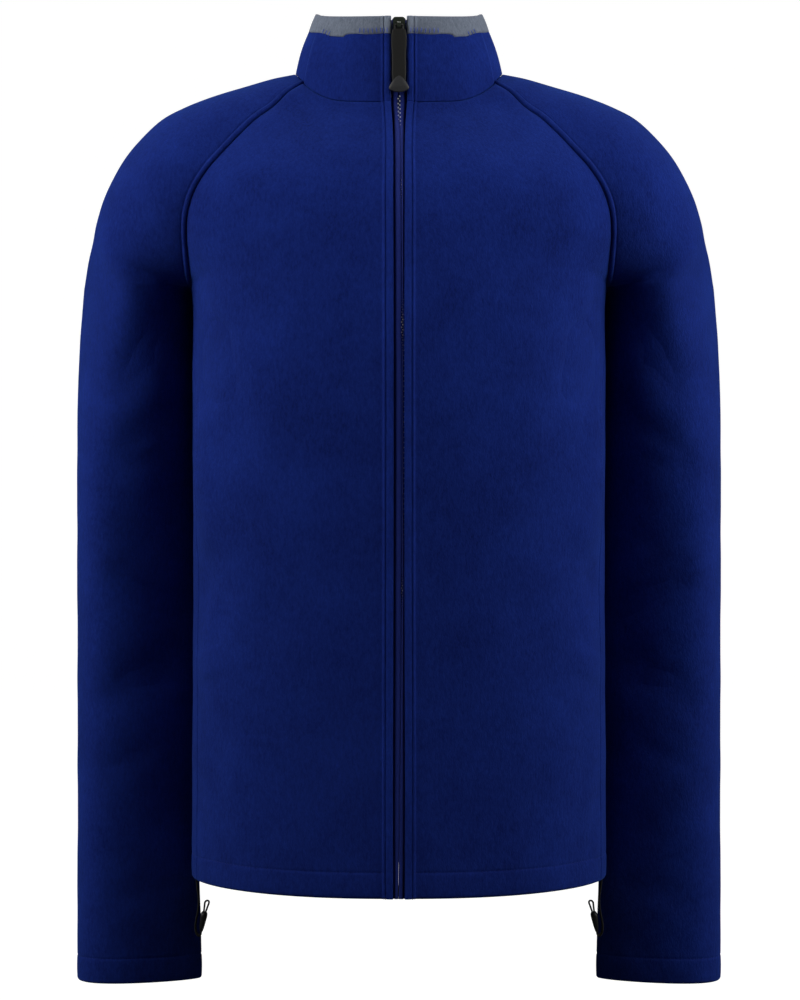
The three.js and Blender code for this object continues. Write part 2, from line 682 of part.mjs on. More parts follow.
// The grey inner collar: a layer inside the blue one, thickened above it into the band that shows outside
function facingGeometry(seam, ownNormals) {
  const layer = CLOTH - 0.2 + SEAM_GAP;
  const total = layer + FACING;
  const loops = seam.map((base, i) => {
    const edge = i < 2 || i > seam.length - 3;
    const raise = edge ? EDGE_BAND_RAISE : 0;
    const band = bandShare(base) + SEAM_GAP / COLLAR_BAND / 4;
    const at = (h, offset) => collarPoint(base, h).addScaledVector(ownNormals[i], offset);
    const foot = 0.06;
    return [
      at(band, raise), at(mix(band, 1, 0.5), raise), at(0.985, raise), at(1, raise - 0.8),
      at(1, -total + 0.5), at(0.985, -total), at(mix(band, 1, 0.5), -total), at(band, -total),
      at(foot, -total), at(foot, -layer), at(mix(foot, band, 0.5), -layer), at(band, -layer),
    ];
  });
  return ringSectionGeometry(loops);
}

// A closed geometry from section loops of any outline, filled at both ends
function ringSectionGeometry(loops) {
  const count = loops[0].length;
  const triangles = [];
  const index = (loop, i) => loop * count + (i % count);
  for (let k = 0; k < loops.length - 1; k += 1) {
    for (let i = 0; i < count; i += 1) {
      triangles.push(index(k, i), index(k, i + 1), index(k + 1, i + 1));
      triangles.push(index(k, i), index(k + 1, i + 1), index(k + 1, i));
    }
  }
  const last = loops.length - 1;
  for (const corners of capTriangles(loops[0])) triangles.push(...corners.map((i) => index(0, i)).reverse());
  for (const corners of capTriangles(loops[last])) triangles.push(...corners.map((i) => index(last, i)));
  return closedGeometry(loops.flat(), triangles);
}

// Triangles that fill a section's outline, found in the plane of the section
function capTriangles(loop) {
  const origin = loop[0];
  const across = loop[Math.floor(loop.length / 2)].clone().sub(origin).normalize();
  const normal = new THREE.Vector3();
  loop.forEach((point, i) => {
    normal.add(point.clone().sub(origin).cross(loop[(i + 1) % loop.length].clone().sub(origin)));
  });
  const up = normal.normalize().clone().cross(across);
  const outline = loop.map((p) => {
    const away = p.clone().sub(origin);
    return new THREE.Vector2(away.dot(across), away.dot(up));
  });
  return THREE.ShapeUtils.triangulateShape(outline, []);
}

// One zip tape, laid behind the points of the front edge and of the collar's edge,
// with its rolled edge beside the slit
const TAPE_WIDTH = 15;
const TAPE_TOP = 0.94; // the share of the collar's height at which the tape ends
// Depth of both layers of the collar, and room for their curve
const COLLAR_DEPTH = CLOTH + SEAM_GAP + FACING + 0.7;
const TAPE_DIVES = -45; // height above which the tape lies behind both layers
const LIP_DEPTH = 0.8; // how far the rolled edges lie below the front edge's face
const PARTED_DEPTH = 2.4; // the same where the edges part under the puller
const PARTED = -36; // height above which they part
function tapeGeometry(side, frontPiece, seam) {
  const fromPanel = frontPiece.grid.map((row, j) => {
    const behind = row[0].point.z > TAPE_DIVES ? COLLAR_DEPTH : row[0].wall;
    return { edge: row[0].point, foot: row[2].point, out: frontPiece.normals[j][0], behind };
  });
  const fromCollar = [0.25, 0.5, 0.75, TAPE_TOP].map((h) => {
    const edge = collarPoint(seam[0], h);
    const foot = collarPoint(seam[2], h);
    const above = collarPoint(seam[0], h + 0.05);
    const out = foot.clone().sub(edge).cross(above.sub(edge)).normalize();
    return { edge, foot, out, behind: COLLAR_DEPTH };
  });
  const loops = [...fromPanel, ...fromCollar].map(({ edge, foot, out, behind }) => {
    const along = foot.clone().sub(edge).normalize();
    const half = edge.x - 0.5;
    const slit = side * frontEdgeAt(edge.z, 'slit') + SEAM_GAP;
    const lip = mix(LIP_DEPTH, PARTED_DEPTH, smoothStep((edge.z - PARTED + 12) / 24));
    const deep = behind + SEAM_GAP;
    const outer = [
      [TAPE_WIDTH, deep], [half + 1.6, deep], [half, deep - 0.2],
      [mix(slit, half, 0.62), lip], [mix(slit, half, 0.25), lip + 0.1], [slit, lip + 0.9],
    ];
    const inner = outer.map(([x, depth]) => [x, Math.max(depth, CLOTH) + TAPE]).reverse();
    const level = new THREE.Vector3(0, out.y, out.z).normalize();
    return [...outer, ...inner].map(([x, depth]) => {
      const point = edge.clone().addScaledVector(along, Math.max(0, x - edge.x));
      point.addScaledVector(level, -depth);
      point.x = side * (x < edge.x ? x : point.x);
      return point;
    });
  });
  return loftGeometry(loops);
}

// An outline made into a plate with square edges
const plateGeometry = (outline, depth) => new THREE.ExtrudeGeometry(
  outline, { depth, bevelEnabled: false, curveSegments: 5 },
);

// A small block with rounded vertical edges, built upright about a centre
function blockGeometry(width, height, depth, corner, centre) {
  const shape = new THREE.Shape();
  const w = width / 2 - corner;
  const h = height / 2 - corner;
  shape.absarc(w, h, corner, 0, Math.PI / 2);
  shape.absarc(-w, h, corner, Math.PI / 2, Math.PI);
  shape.absarc(-w, -h, corner, Math.PI, 1.5 * Math.PI);
  shape.absarc(w, -h, corner, 1.5 * Math.PI, 2 * Math.PI);
  shape.closePath();
  const geometry = plateGeometry(shape, depth);
  geometry.translate(0, 0, -depth / 2);
  geometry.rotateX(Math.PI / 2);
  geometry.translate(...centre);
  return geometry;
}

const wasm = await Module();
wasm.setup();

// A closed geometry as a solid that can be joined and cut
function solidOf(geometry) {
  const bare = geometry.index ? geometry.toNonIndexed() : geometry.clone();
  bare.deleteAttribute('normal');
  bare.deleteAttribute('uv');
  const merged = mergeVertices(bare, 1e-4);
  const vertProperties = new Float32Array(merged.getAttribute('position').array);
  const triVerts = new Uint32Array(merged.getIndex().array);
  return new wasm.Manifold(new wasm.Mesh({ numProp: 3, vertProperties, triVerts }));
}
function geometryOf(solid) {
  const mesh = solid.getMesh();
  const geometry = new THREE.BufferGeometry();
  geometry.setAttribute('position', new THREE.Float32BufferAttribute(mesh.vertProperties, 3));
  geometry.setIndex(Array.from(mesh.triVerts));
  return geometry;
}
const joined = (geometries) => geometryOf(geometries.map(solidOf).reduce((sum, solid) => sum.add(solid)));

// Zip slider at the top of the zip, with the bridge that the puller hangs in
const SLIDER = { width: 9.4, height: 12, depth: 3.4, z: 39, front: -64.6 };
const BRIDGE = { width: 3, reach: 3.4, hole: 1.35, plate: 1.1 };
const HINGE = new THREE.Vector3(0, SLIDER.front - 1.75, SLIDER.z - 0.5);
const BAR_RADIUS = 0.9;
function sliderGeometry() {
  const centre = [0, SLIDER.front + SLIDER.depth / 2, SLIDER.z];
  const body = blockGeometry(SLIDER.width, SLIDER.height, SLIDER.depth, 2, centre);
  const outline = new THREE.Shape();
  const half = BRIDGE.hole + BRIDGE.plate;
  outline.moveTo(-half, -0.6);
  outline.lineTo(half, -0.6);
  outline.lineTo(half, BRIDGE.reach - 0.9);
  outline.lineTo(half - 0.9, BRIDGE.reach);
  outline.lineTo(0.9 - half, BRIDGE.reach);
  outline.lineTo(-half, BRIDGE.reach - 0.9);
  outline.closePath();
  const hole = new THREE.Path();
  hole.absarc(0, 1.75, BRIDGE.hole, 0, 2 * Math.PI, true);
  outline.holes.push(hole);
  const bridge = plateGeometry(outline, BRIDGE.width);
  // the outline's x runs up the slider, its y out of the slider's face
  const turn = new THREE.Matrix4().makeBasis(
    new THREE.Vector3(0, 0, 1), new THREE.Vector3(0, -1, 0), new THREE.Vector3(1, 0, 0),
  );
  bridge.translate(0, 0, -BRIDGE.width / 2);
  bridge.applyMatrix4(turn);
  bridge.translate(0, SLIDER.front, HINGE.z);
  return joined([body, bridge]);
}

// The puller: a bar in the bridge, two short arms, a flat strap and a rounded end
const PULLER = { strapWidth: 9.2, strap: 1.8, armTop: 4.2, endTop: 36.5, endWidth: 15.4, end: 3 };
const PULLER_TILT = Math.atan2(70 - COLLAR_TOP.front, COLLAR_TOP.zFront - NECK_FRONT);
function pullerGeometry() {
  const bar = new THREE.CylinderGeometry(BAR_RADIUS, BAR_RADIUS, 7.4, 10);
  bar.rotateZ(Math.PI / 2);
  const arms = [-1, 1].map((side) => blockGeometry(1.7, 6.6, 1.8, 0.5, [side * 2.85, 0, -2.4]));
  const strapHeight = PULLER.endTop + 3 - PULLER.armTop;
  const middle = [0, 0, -PULLER.armTop - strapHeight / 2];
  const strap = blockGeometry(PULLER.strapWidth, strapHeight, PULLER.strap, 1.6, middle);
  const end = new THREE.Shape();
  const top = -PULLER.endTop;
  const half = PULLER.endWidth / 2;
  // a rounded three-cornered plate: a narrow shoulder under the strap, and a broad curved foot
  end.moveTo(-2.2, top + 0.6);
  end.quadraticCurveTo(0, top + 1.6, 2.2, top + 0.6);
  end.quadraticCurveTo(half - 1.4, top - 4, half, top - 9);
  end.quadraticCurveTo(half, top - 11.4, half - 2.4, top - 12.2);
  end.quadraticCurveTo(0, top - 14.4, 2.4 - half, top - 12.2);
  end.quadraticCurveTo(-half, top - 11.4, -half, top - 9);
  end.quadraticCurveTo(1.4 - half, top - 4, -2.2, top + 0.6);
  const endPiece = plateGeometry(end, PULLER.end);
  endPiece.translate(0, 0, -PULLER.end / 2);
  endPiece.rotateX(Math.PI / 2);
  const geometry = joined([bar, ...arms, strap, endPiece]);
  geometry.rotateX(-PULLER_TILT);
  geometry.translate(...HINGE.toArray());
  return geometry;
}

// The box at the foot of the zip that joins its two halves
function zipBoxGeometry() {
  const y = bodyPoint(0, HEM_FRONT).y;
  return blockGeometry(6.6, 9, 1.6, 0.8, [0, y - 0.6, HEM_FRONT + 6]);
}

// The strip of pocket cloth that shows behind the mouth, laid on the inner points of the back panel's edge
function pocketGeometry(side, backPiece) {
  const { inner } = wallLayers(backPiece);
  const atMouth = (z) => z > POCKET.bottom - 1 && z < POCKET.top + 1;
  const rows = inner
    .map((row, j) => ({ row, z: backPiece.grid[j][0].point.z, out: backPiece.normals[j][0] }))
    .filter(({ z }) => atMouth(z));
  const loops = rows.map(({ row, z, out }, j) => {
    const angle = sideSeamAt(z, 'angle') * DEGREE;
    const ahead = bodyPoint(angle - POCKET_REACH * (DEGREE / BODY_ROUND), z).sub(bodyPoint(angle, z));
    const under = row[0].clone().add(ahead).addScaledVector(out, -POCKET_SINK);
    const halfway = row[0].clone().add(ahead.multiplyScalar(0.5)).addScaledVector(out, -POCKET_SINK / 2);
    const run = [under, halfway, row[0], row[0].clone().lerp(row[1], 0.5)];
    const layer = (offset) => run.map((point) => point.clone().addScaledVector(out, -offset));
    const taper = j === 0 || j === rows.length - 1 ? 0.4 : 0;
    return [...layer(POCKET_GAP + taper), ...layer(POCKET_GAP + taper + POCKET_CLOTH).reverse()];
  });
  return loftGeometry(loops.map((loop) => loop.map((p) => new THREE.Vector3(side * p.x, p.y, p.z))));
}

// The elastic cord out of the hem at one side: two strands down and up into the lock, and the loop above it
const CORD = { radius: 0.85, gap: 3, y: -9 };
const STRAND = table(['x', 'z'], [
  [161.6, -632.2],
  [160.8, -640],
  [159.6, -650],
  [160.2, -659],
  [161.8, -667],
  [162.3, -673],
  [161.0, -678],
  [158.9, -679.2],
  [157.9, -676.6],
]);
const LOOP = table(['x', 'z'], [
  [155.0, -659.8],
  [154.3, -656.6],
  [153.6, -653.8],
]);
const LOCK = { bottom: [157.8, -676], top: [155.1, -660.4] };
const LOCK_SECTIONS = table(['t', 'thick', 'width'], [
  [0, 2.4, 7],
  [0.25, 3.8, 9.6],
  [0.6, 5, 12],
  [0.9, 5.2, 12],
  [1, 4.2, 10.4],
]);
const LOCK_ROUNDING = 0.7; // 1 makes the lock's sections ellipses, less makes them squarer

function tubeGeometry(points, side) {
  const curve = new THREE.CatmullRomCurve3(points.map((p) => new THREE.Vector3(side * p.x, p.y, p.z)));
  const section = new THREE.Shape();
  const corners = Array.from({ length: 8 }, (_, i) => {
    const angle = (i * Math.PI) / 4;
    return new THREE.Vector2(Math.cos(angle) * CORD.radius, Math.sin(angle) * CORD.radius);
  });
  section.setFromPoints(corners);
  const steps = Math.min(40, Math.ceil(curve.getLength() / (5 * CORD.radius)));
  return new THREE.ExtrudeGeometry(section, { steps, extrudePath: curve, bevelEnabled: false });
}
function strandGeometry(side, offset) {
  return tubeGeometry(STRAND.map(({ x, z }) => ({ x, y: CORD.y + offset, z })), side);
}
function loopGeometry(side) {
  const up = LOOP.map(({ x, z }) => ({ x, y: CORD.y - CORD.gap, z }));
  const top = LOOP.at(-1);
  const turn = [30, 60, 90, 120, 150].map((angle) => ({
    x: top.x - 0.75 * Math.sin(angle * DEGREE),
    y: CORD.y - CORD.gap * Math.cos(angle * DEGREE),
    z: top.z + CORD.gap * Math.sin(angle * DEGREE),
  }));
  const down = LOOP.map(({ x, z }) => ({ x, y: CORD.y + CORD.gap, z })).reverse();
  return tubeGeometry([...up, ...turn, ...down], side);
}
function lockGeometry(side) {
  const [bottomX, bottomZ] = LOCK.bottom;
  const [topX, topZ] = LOCK.top;
  const lean = Math.atan2(topX - bottomX, topZ - bottomZ);
  const loops = LOCK_SECTIONS.map(({ t, thick, width }) => {
    const x = mix(bottomX, topX, t);
    const z = mix(bottomZ, topZ, t);
    return Array.from({ length: 12 }, (_, i) => {
      const angle = (i * Math.PI) / 6;
      const rounded = (value) => Math.sign(value) * Math.abs(value) ** LOCK_ROUNDING;
      const across = (rounded(Math.cos(angle)) * thick) / 2;
      const deep = (rounded(Math.sin(angle)) * width) / 2;
      const away = side * (x + across * Math.cos(lean));
      return new THREE.Vector3(away, CORD.y + deep, z - across * Math.sin(lean));
    });
  });
  return ringSectionGeometry(loops);
}

const finish = (name, color, roughness) => new THREE.MeshStandardMaterial(
  { name, color, roughness, metalness: 0 },
);
const finishes = {
  fleece: finish('fleece', COLOURS.fleece, 0.95),
  grey: finish('grey fleece', COLOURS.grey, 0.9),
  tape: finish('zip tape', COLOURS.tape, 0.8),
  black: finish('black plastic', COLOURS.black, 0.5),
  cord: finish('elastic cord', COLOURS.black, 0.8),
};

const jacket = new THREE.Group();
function add(name, geometry, finishName) {
  const mesh = new THREE.Mesh(geometry, finishes[finishName]);
  mesh.name = name;
  jacket.add(mesh);
}

// Cloth panels, sewn along shared seam points
const front = frontGrid();
const sleeve = sleeveGrid();
const back = backGrid();
const seam = neckSeam(front, sleeve, back);
const collar = collarGrid(seam);
const panels = [
  { name: 'front_left', grid: front, turn: 1, seams: { end: true, top: true } },
  { name: 'front_right', grid: mirrorGrid(front), turn: -1, seams: { end: true, top: true } },
  { name: 'back', grid: back, turn: 1, seams: { start: true, end: true, top: true } },
  { name: 'sleeve_left', grid: sleeve, turn: 1, seams: { start: true, end: true, top: true } },
  { name: 'sleeve_right', grid: mirrorGrid(sleeve), turn: -1, seams: { start: true, end: true, top: true } },
  { name: 'collar', grid: collar, turn: 1, seams: { bottom: true } },
];
for (const panel of panels) panel.normals = normals(panel.grid, panel.turn);
const collarNormals = panels.at(-1).normals[1].map((normal) => normal.clone());
shareSeamNormals(panels);
for (const panel of panels) add(panel.name, wallGeometry(panel), 'fleece');
add('collar_facing', facingGeometry(seam, collarNormals), 'grey');

// Zip
add('zip_tape_left', tapeGeometry(1, panels[0], seam), 'tape');
add('zip_tape_right', tapeGeometry(-1, panels[0], seam), 'tape');
add('zip_slider', sliderGeometry(), 'black');
add('zip_puller', pullerGeometry(), 'black');
add('zip_box', zipBoxGeometry(), 'black');

// Pockets and hem cords
for (const [side, word] of [[1, 'left'], [-1, 'right']]) {
  add(`pocket_${word}`, pocketGeometry(side, panels[2]), 'fleece');
  add(`hem_cord_front_${word}`, strandGeometry(side, -CORD.gap), 'cord');
  add(`hem_cord_back_${word}`, strandGeometry(side, CORD.gap), 'cord');
  add(`cord_loop_${word}`, loopGeometry(side), 'cord');
  add(`cord_lock_${word}`, lockGeometry(side), 'black');
}

export default jacket;
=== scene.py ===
"""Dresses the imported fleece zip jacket: cloth panels, seams, stitches, zip and hem cords.

Sizes are in millimetres and become metres where a mesh is made. +Z is up, the front faces -Y
and +X is on the wearer's left. The origin is on the mid plane, level with the shoulders.
"""

from __future__ import annotations

import logging
import math
from dataclasses import dataclass, field
from enum import Enum

import bpy
import numpy as np
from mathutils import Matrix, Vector


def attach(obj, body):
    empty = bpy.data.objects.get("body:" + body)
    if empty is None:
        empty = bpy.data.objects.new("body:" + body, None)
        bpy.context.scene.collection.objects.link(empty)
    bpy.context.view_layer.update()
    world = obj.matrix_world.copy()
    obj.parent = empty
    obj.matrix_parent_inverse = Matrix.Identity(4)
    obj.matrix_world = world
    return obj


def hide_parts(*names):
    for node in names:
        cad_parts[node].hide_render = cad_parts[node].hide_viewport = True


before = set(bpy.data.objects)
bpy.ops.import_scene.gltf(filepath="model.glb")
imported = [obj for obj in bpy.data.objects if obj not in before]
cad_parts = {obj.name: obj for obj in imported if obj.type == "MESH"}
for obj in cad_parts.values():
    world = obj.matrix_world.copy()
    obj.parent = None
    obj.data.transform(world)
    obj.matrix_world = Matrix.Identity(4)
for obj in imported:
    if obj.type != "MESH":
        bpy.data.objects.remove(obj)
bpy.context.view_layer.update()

LOG = logging.getLogger("jacket")
Place = tuple[float, float, float]
Mesh = tuple[np.ndarray, np.ndarray]
MM = 0.001
BODY_NAME = "jacket"
PULLER_NAME = "puller"

# Cloth and main levels
CLOTH = 2.4
SEAM_GAP = 0.3
HEM_FRONT = -637.0
ARMPIT = -161.5
NECK_FRONT = -22.0
CUFF = -719.5


def smooth_step(value: np.ndarray) -> np.ndarray:
    """Rise softly from 0 to 1 as the value goes from 0 to 1: t * t * (3 - 2 t).

    Args:
        value: Places along the rise, clipped to 0 and 1.

    Returns:
        The eased values.
    """
    t = np.clip(value, 0.0, 1.0)
    return t * t * (3.0 - 2.0 * t)


def mix(low: np.ndarray, high: np.ndarray, share: np.ndarray) -> np.ndarray:
    """Return the value a share of the way from low to high."""
    return low + (high - low) * share


def bump(value: np.ndarray, centre: float, width: float) -> np.ndarray:
    """Return a soft round hump, exp(-((value - centre) / width) ** 2)."""
    return np.exp(-(((value - centre) / width) ** 2))


class Table:
    """Smooth curves through the rows of a table, read by its first column."""

    def __init__(self, columns: str, rows: list[tuple[float, ...]]) -> None:
        """Keep the rows and name their columns.

        Args:
            columns: Column names, parted by spaces. The first one rises from row to row.
            rows: One tuple of numbers for each row.
        """
        values = np.array(rows, float).T
        self.data = dict(zip(columns.split(), values))
        self.keys = values[0]

    def __call__(self, value: np.ndarray, column: str) -> np.ndarray:
        """Read a column with a cubic curve whose slope at a row is the mean of its neighbours'.

        Args:
            value: Where to read, in the first column's units.
            column: The column to read.

        Returns:
            The curve's values, with the shape of value.
        """
        keys, values = self.keys, self.data[column]
        steps = np.diff(keys)
        secants = np.diff(values) / steps
        inner = (secants[:-1] * steps[1:] + secants[1:] * steps[:-1]) / (steps[:-1] + steps[1:])
        slopes = np.concatenate([secants[:1], inner, secants[-1:]])
        i = np.clip(np.searchsorted(keys, value) - 1, 0, len(keys) - 2)
        t = np.clip((value - keys[i]) / steps[i], 0.0, 1.0)
        ease = t * t * (3 - 2 * t)
        start = t * (1 - t) ** 2 * steps[i] * slopes[i]
        end = t * t * (t - 1) * steps[i] * slopes[i + 1]
        return values[i] * (1 - ease) + values[i + 1] * ease + start + end


class Line:
    """A smooth line through points in space, read at a share of its length."""

    def __init__(self, rows: list[Place]) -> None:
        """Keep the line's points with their shares of the whole length.

        Args:
            rows: The points.
        """
        points = np.array(rows, float)
        steps = np.linalg.norm(np.diff(points, axis=0), axis=1)
        self.length = float(steps.sum())
        along = np.concatenate([[0.0], np.cumsum(steps)]) / self.length
        self.table = Table("s x y z", [tuple(row) for row in np.column_stack([along, points])])

    def __call__(self, share: np.ndarray) -> np.ndarray:
        """Return the points at shares of the length, with x, y and z on a last axis."""
        return np.stack([self.table(share, axis) for axis in "xyz"], axis=-1)


# The body below the armpit: half width, and depth in front of and behind the mid plane
BODY = Table("z half front back", [
    (-637, 165.0, 118, 110),
    (-560, 165.0, 117, 109),
    (-480, 164.6, 117, 107),
    (-400, 164.2, 118, 106),
    (-320, 164.2, 120, 109),
    (-240, 164.6, 122, 114),
    (-161.5, 165.3, 119.5, 118.5),
    (-116, 172, 113.5, 118),
    (-60, 165, 95, 106),
    (-22, 130, 70.5, 89),
    (8, 84, 54, 73),
])

# Where the side seam runs, in degrees round the body from centre front
SIDE_SEAM = Table("z angle", [
    (-637, 73),
    (-353, 72.5),
    (-286, 72),
    (-240, 77),
    (-200, 84),
    (-161.5, 92),
])

# Raglan seams from the armpit to the collar, on the wearer's left
FRONT_SEAM_ROWS = [
    (165.3, 6, -161.5),
    (165.0, -15, -159.8),
    (165.0, -34, -153.8),
    (165.6, -46, -141.5),
    (166.5, -54.5, -123),
    (164.9, -60, -105.4),
    (158.3, -63.3, -87),
    (149.1, -63, -72.8),
    (136.7, -61, -58.6),
    (124.4, -57.5, -44.9),
    (112.0, -53.5, -32.7),
    (99.7, -49, -23.5),
    (87.3, -43, -11),
    (75.0, -34, -2.8),
]
BACK_SEAM_ROWS = [
    (165.3, 6, -161.5),
    (165.0, 21, -159),
    (163.0, 38, -149),
    (160.0, 55, -133),
    (155.0, 67, -112),
    (147.0, 74, -90),
    (135.0, 76.5, -69),
    (121.0, 75, -50),
    (106.0, 71, -33),
    (91.0, 65, -18),
    (76.0, 58, -4),
    (62.0, 50, 8),
]
FRONT_RAGLAN = Line(FRONT_SEAM_ROWS)
BACK_RAGLAN = Line(BACK_SEAM_ROWS)
FRONT_BY_HEIGHT = Table("z x y", [(z, x, y) for x, y, z in FRONT_SEAM_ROWS])
BACK_BY_HEIGHT = Table("z x y", [(z, x, y) for x, y, z in BACK_SEAM_ROWS])

# The line over the shoulder, from the armpit's level to the collar
SHOULDER = Line([
    (254.6, 29, -161.5),
    (250.4, 25, -138.2),
    (246.1, 22, -122.2),
    (241.9, 20, -106.3),
    (236.8, 18, -90.3),
    (229.5, 17, -74.3),
    (219.7, 15, -58.4),
    (205.9, 14, -42.5),
    (188.1, 12, -26.6),
    (172.7, 10, -18.8),
    (153.3, 8, -11),
    (128.2, 5, -3.4),
    (100.9, 2, 4.3),
    (82.6, 0, 8),
])

# How the sleeve's sections leave the front and back seams, and how wide they turn at the top
CAP = Table("s fx fy fz fturn bx by bz bturn", [
    (0, 28, -66, 0, 88, 0, 84, 0, 80),
    (0.07, 42, -44, 0, 84, 6, 62, 2, 77),
    (0.14, 50, -22, 3, 76, 13, 42, 4, 74),
    (0.25, 44, -9, 9, 58, 25, 20, 8, 66),
    (0.4, 33, -4, 22, 56, 32, 4, 20, 54),
    (0.6, 24, 10, 30, 46, 26, -6, 30, 44),
    (0.8, 14, 12, 20, 32, 14, -16, 24, 34),
    (1, 5, 12, 6, 14, 12, -14, 2, 20),
])

# Level sections of the hanging sleeve: inner and outer edge, and half depth
SLEEVE = Table("z inner inner_y outer outer_y depth", [
    (-719.5, 160.2, 35, 260.3, 36, 36),
    (-662, 160.8, 35, 260.8, 38, 38),
    (-636, 162.0, 36, 260.8, 39, 39),
    (-580, 162.2, 37, 260.8, 40, 42),
    (-500, 161.9, 38, 260.8, 41, 45),
    (-400, 161.8, 38, 260.8, 41, 50),
    (-300, 162.0, 37, 260.8, 41, 55),
    (-240, 162.7, 29, 260.4, 39, 59),
    (-200, 164.7, 19, 258.6, 35, 61),
    (-161.5, 166.0, 6, 254.6, 29, 62),
])

# The neck seam, from centre front to the raglan seam and from there to centre back
NECK_FRONT_LINE = Line([
    (0, -70, -22),
    (26, -67.5, -21.6),
    (51.6, -58, -19),
    (69.2, -43, -9.6),
    (75.0, -34, -2.8),
])
NECK_BACK_LINE = Line([
    (62, 50, 8),
    (36, 66, 6.6),
    (0, 73, 5.6),
])

# Half the distance between the front edges, and where the slit between the zip's tapes lies
FRONT_EDGE = Table("z half slit", [
    (-637, 4.4, -0.6),
    (-560, 4.6, 0.6),
    (-480, 4.4, 1.6),
    (-100, 4.4, 1.8),
    (-50, 4.7, 1.2),
    (-34, 5.4, 0.3),
    (-22, 6.3, 0),
    (60, 6.4, 0),
])

# Broad folds on the sleeve, placed by turn round it (0 to 1) and height
SLEEVE_FOLDS = [
    (0.12, -186, 0.30, -250, 15, 2.6),
    (0.08, -250, 0.34, -318, 17, 2.2),
    (0.30, -392, 0.06, -428, 16, 3.0),
    (0.10, -455, 0.36, -500, 18, 2.4),
    (0.62, -230, 0.86, -292, 17, 2.4),
    (0.66, -420, 0.92, -462, 18, 2.6),
    (0.40, -560, 0.14, -604, 18, 2.0),
    (0.70, -590, 0.90, -640, 18, 2.0),
]

# Smaller creases and low ridges (a negative depth) between them
SLEEVE_CREASES = [
    (0.22, -214, 0.10, -236, 7, 0.9),
    (0.16, -284, 0.28, -300, 6, -0.7),
    (0.32, -345, 0.18, -372, 9, 1.0),
    (0.12, -402, 0.26, -388, 6, -0.8),
    (0.28, -470, 0.12, -482, 7, 0.8),
    (0.18, -530, 0.34, -548, 8, 0.9),
    (0.10, -640, 0.34, -655, 10, 0.8),
    (0.60, -340, 0.82, -362, 9, 1.0),
    (0.72, -500, 0.90, -520, 9, 0.9),
    (0.58, -640, 0.80, -660, 10, 0.8),
    (0.40, -120, 0.30, -180, 14, 1.0),
    (0.66, -130, 0.74, -190, 14, 1.0),
]

# The same on the body, placed by degrees round it from centre front
BODY_FOLDS = [
    (63, -200, 58, -254, 23, 5.2),
    (62, -190, 40, -300, 16, 1.6),
    (64, -308, 61, -368, 26, -4.4),
    (68, -394, 50, -420, 18, 2.0),
    (64, -450, 62, -470, 22, -2.0),
    (60, -510, 56, -620, 20, 2.2),
    (118, -190, 140, -300, 18, 2.4),
    (150, -380, 118, -430, 20, 2.8),
    (120, -500, 126, -620, 20, 2.2),
]
BODY_CREASES = [
    (70, -176, 52, -206, 8, 1.0),
    (38, -118, 22, -160, 16, 0.7),
    (30, -240, 44, -330, 18, -0.8),
    (24, -400, 40, -452, 15, 0.9),
    (58, -410, 66, -450, 9, -0.9),
    (44, -540, 30, -596, 16, 0.8),
    (70, -560, 62, -618, 9, 0.8),
    (130, -250, 110, -330, 14, 1.0),
    (160, -470, 140, -540, 16, 0.9),
    (100, -360, 112, -420, 11, 1.0),
    (104, -560, 96, -620, 10, 0.9),
]

# Places of rows and columns near an edge that turns over, in millimetres from it
EDGE_MARKS = (0.0, 0.3, 0.7, 1.2, 1.9, 2.8, 4.0, 5.6, 7.6)
SEAM_MARKS = (0.0, 0.2, 0.5, 0.9, 1.4, 2.4, 4.0, 6.0)
ROW_STEP = 3.0
COLUMN_STEP = 3.5


def spread(width: float, step: float, start: tuple[float, ...], end: tuple[float, ...]) -> np.ndarray:
    """Lay marks across a width: the given ones at its start and end, and even steps between.

    Args:
        width: The whole width.
        step: Distance between the even marks.
        start: Marks measured from the start.
        end: Marks measured back from the end.

    Returns:
        The marks as shares of the width, from 0 to 1.
    """
    low, high = start[-1], width - end[-1]
    count = max(1, round((high - low) / step))
    middle = np.linspace(low, high, count + 1)[1:-1]
    return np.concatenate([start, middle, width - np.array(end)[::-1]]) / width


def troughs(folds: list[tuple[float, ...]], around: np.ndarray, z: np.ndarray,
            scale: float) -> np.ndarray:
    """Depth of soft grooves: each is exp(-(off / width) ** 2) across and fades past its ends.

    Args:
        folds: Start and end of each groove (place round, height), its width and depth.
        around: Place round the form.
        z: Height.
        scale: Millimetres for one unit of around.

    Returns:
        The depth below the plain form.
    """
    depth = np.zeros(np.broadcast(around, z).shape)
    for around0, z0, around1, z1, width, deep in folds:
        across, down = (around1 - around0) * scale, z1 - z0
        here_across, here_down = (around - around0) * scale, z - z0
        length = math.hypot(across, down)
        t = (here_across * across + here_down * down) / length**2
        off = (here_across * down - here_down * across) / length
        fade = smooth_step((t + 0.25) / 0.5) * smooth_step((1.25 - t) / 0.5)
        depth += deep * fade * np.exp(-((off / width) ** 2))
    return depth


def lumps(points: np.ndarray) -> np.ndarray:
    """Uneven soft swells a few tenths high: a sum of slow sines that run across each other.

    Args:
        points: Points of a surface, with x, y and z on the last axis.

    Returns:
        The height of the swells at every point.
    """
    x, y, z = np.moveaxis(points, -1, 0)
    slow = np.sin(x / 17 + np.sin(z / 29) * 1.3) * np.sin(z / 21 + y / 25)
    quick = np.sin(x / 7.1 + z / 13 + 1.7) * np.sin(z / 9.3 - y / 8.2)
    return 0.28 * slow + 0.09 * quick


def turned_edge(distance: np.ndarray, radius: float, depth: float) -> np.ndarray:
    """How far a face sinks where an edge turns over: a quarter round of the radius and depth."""
    share = np.clip(1 - distance / radius, 0.0, 1.0)
    return depth * (1 - np.sqrt(1 - share**2))


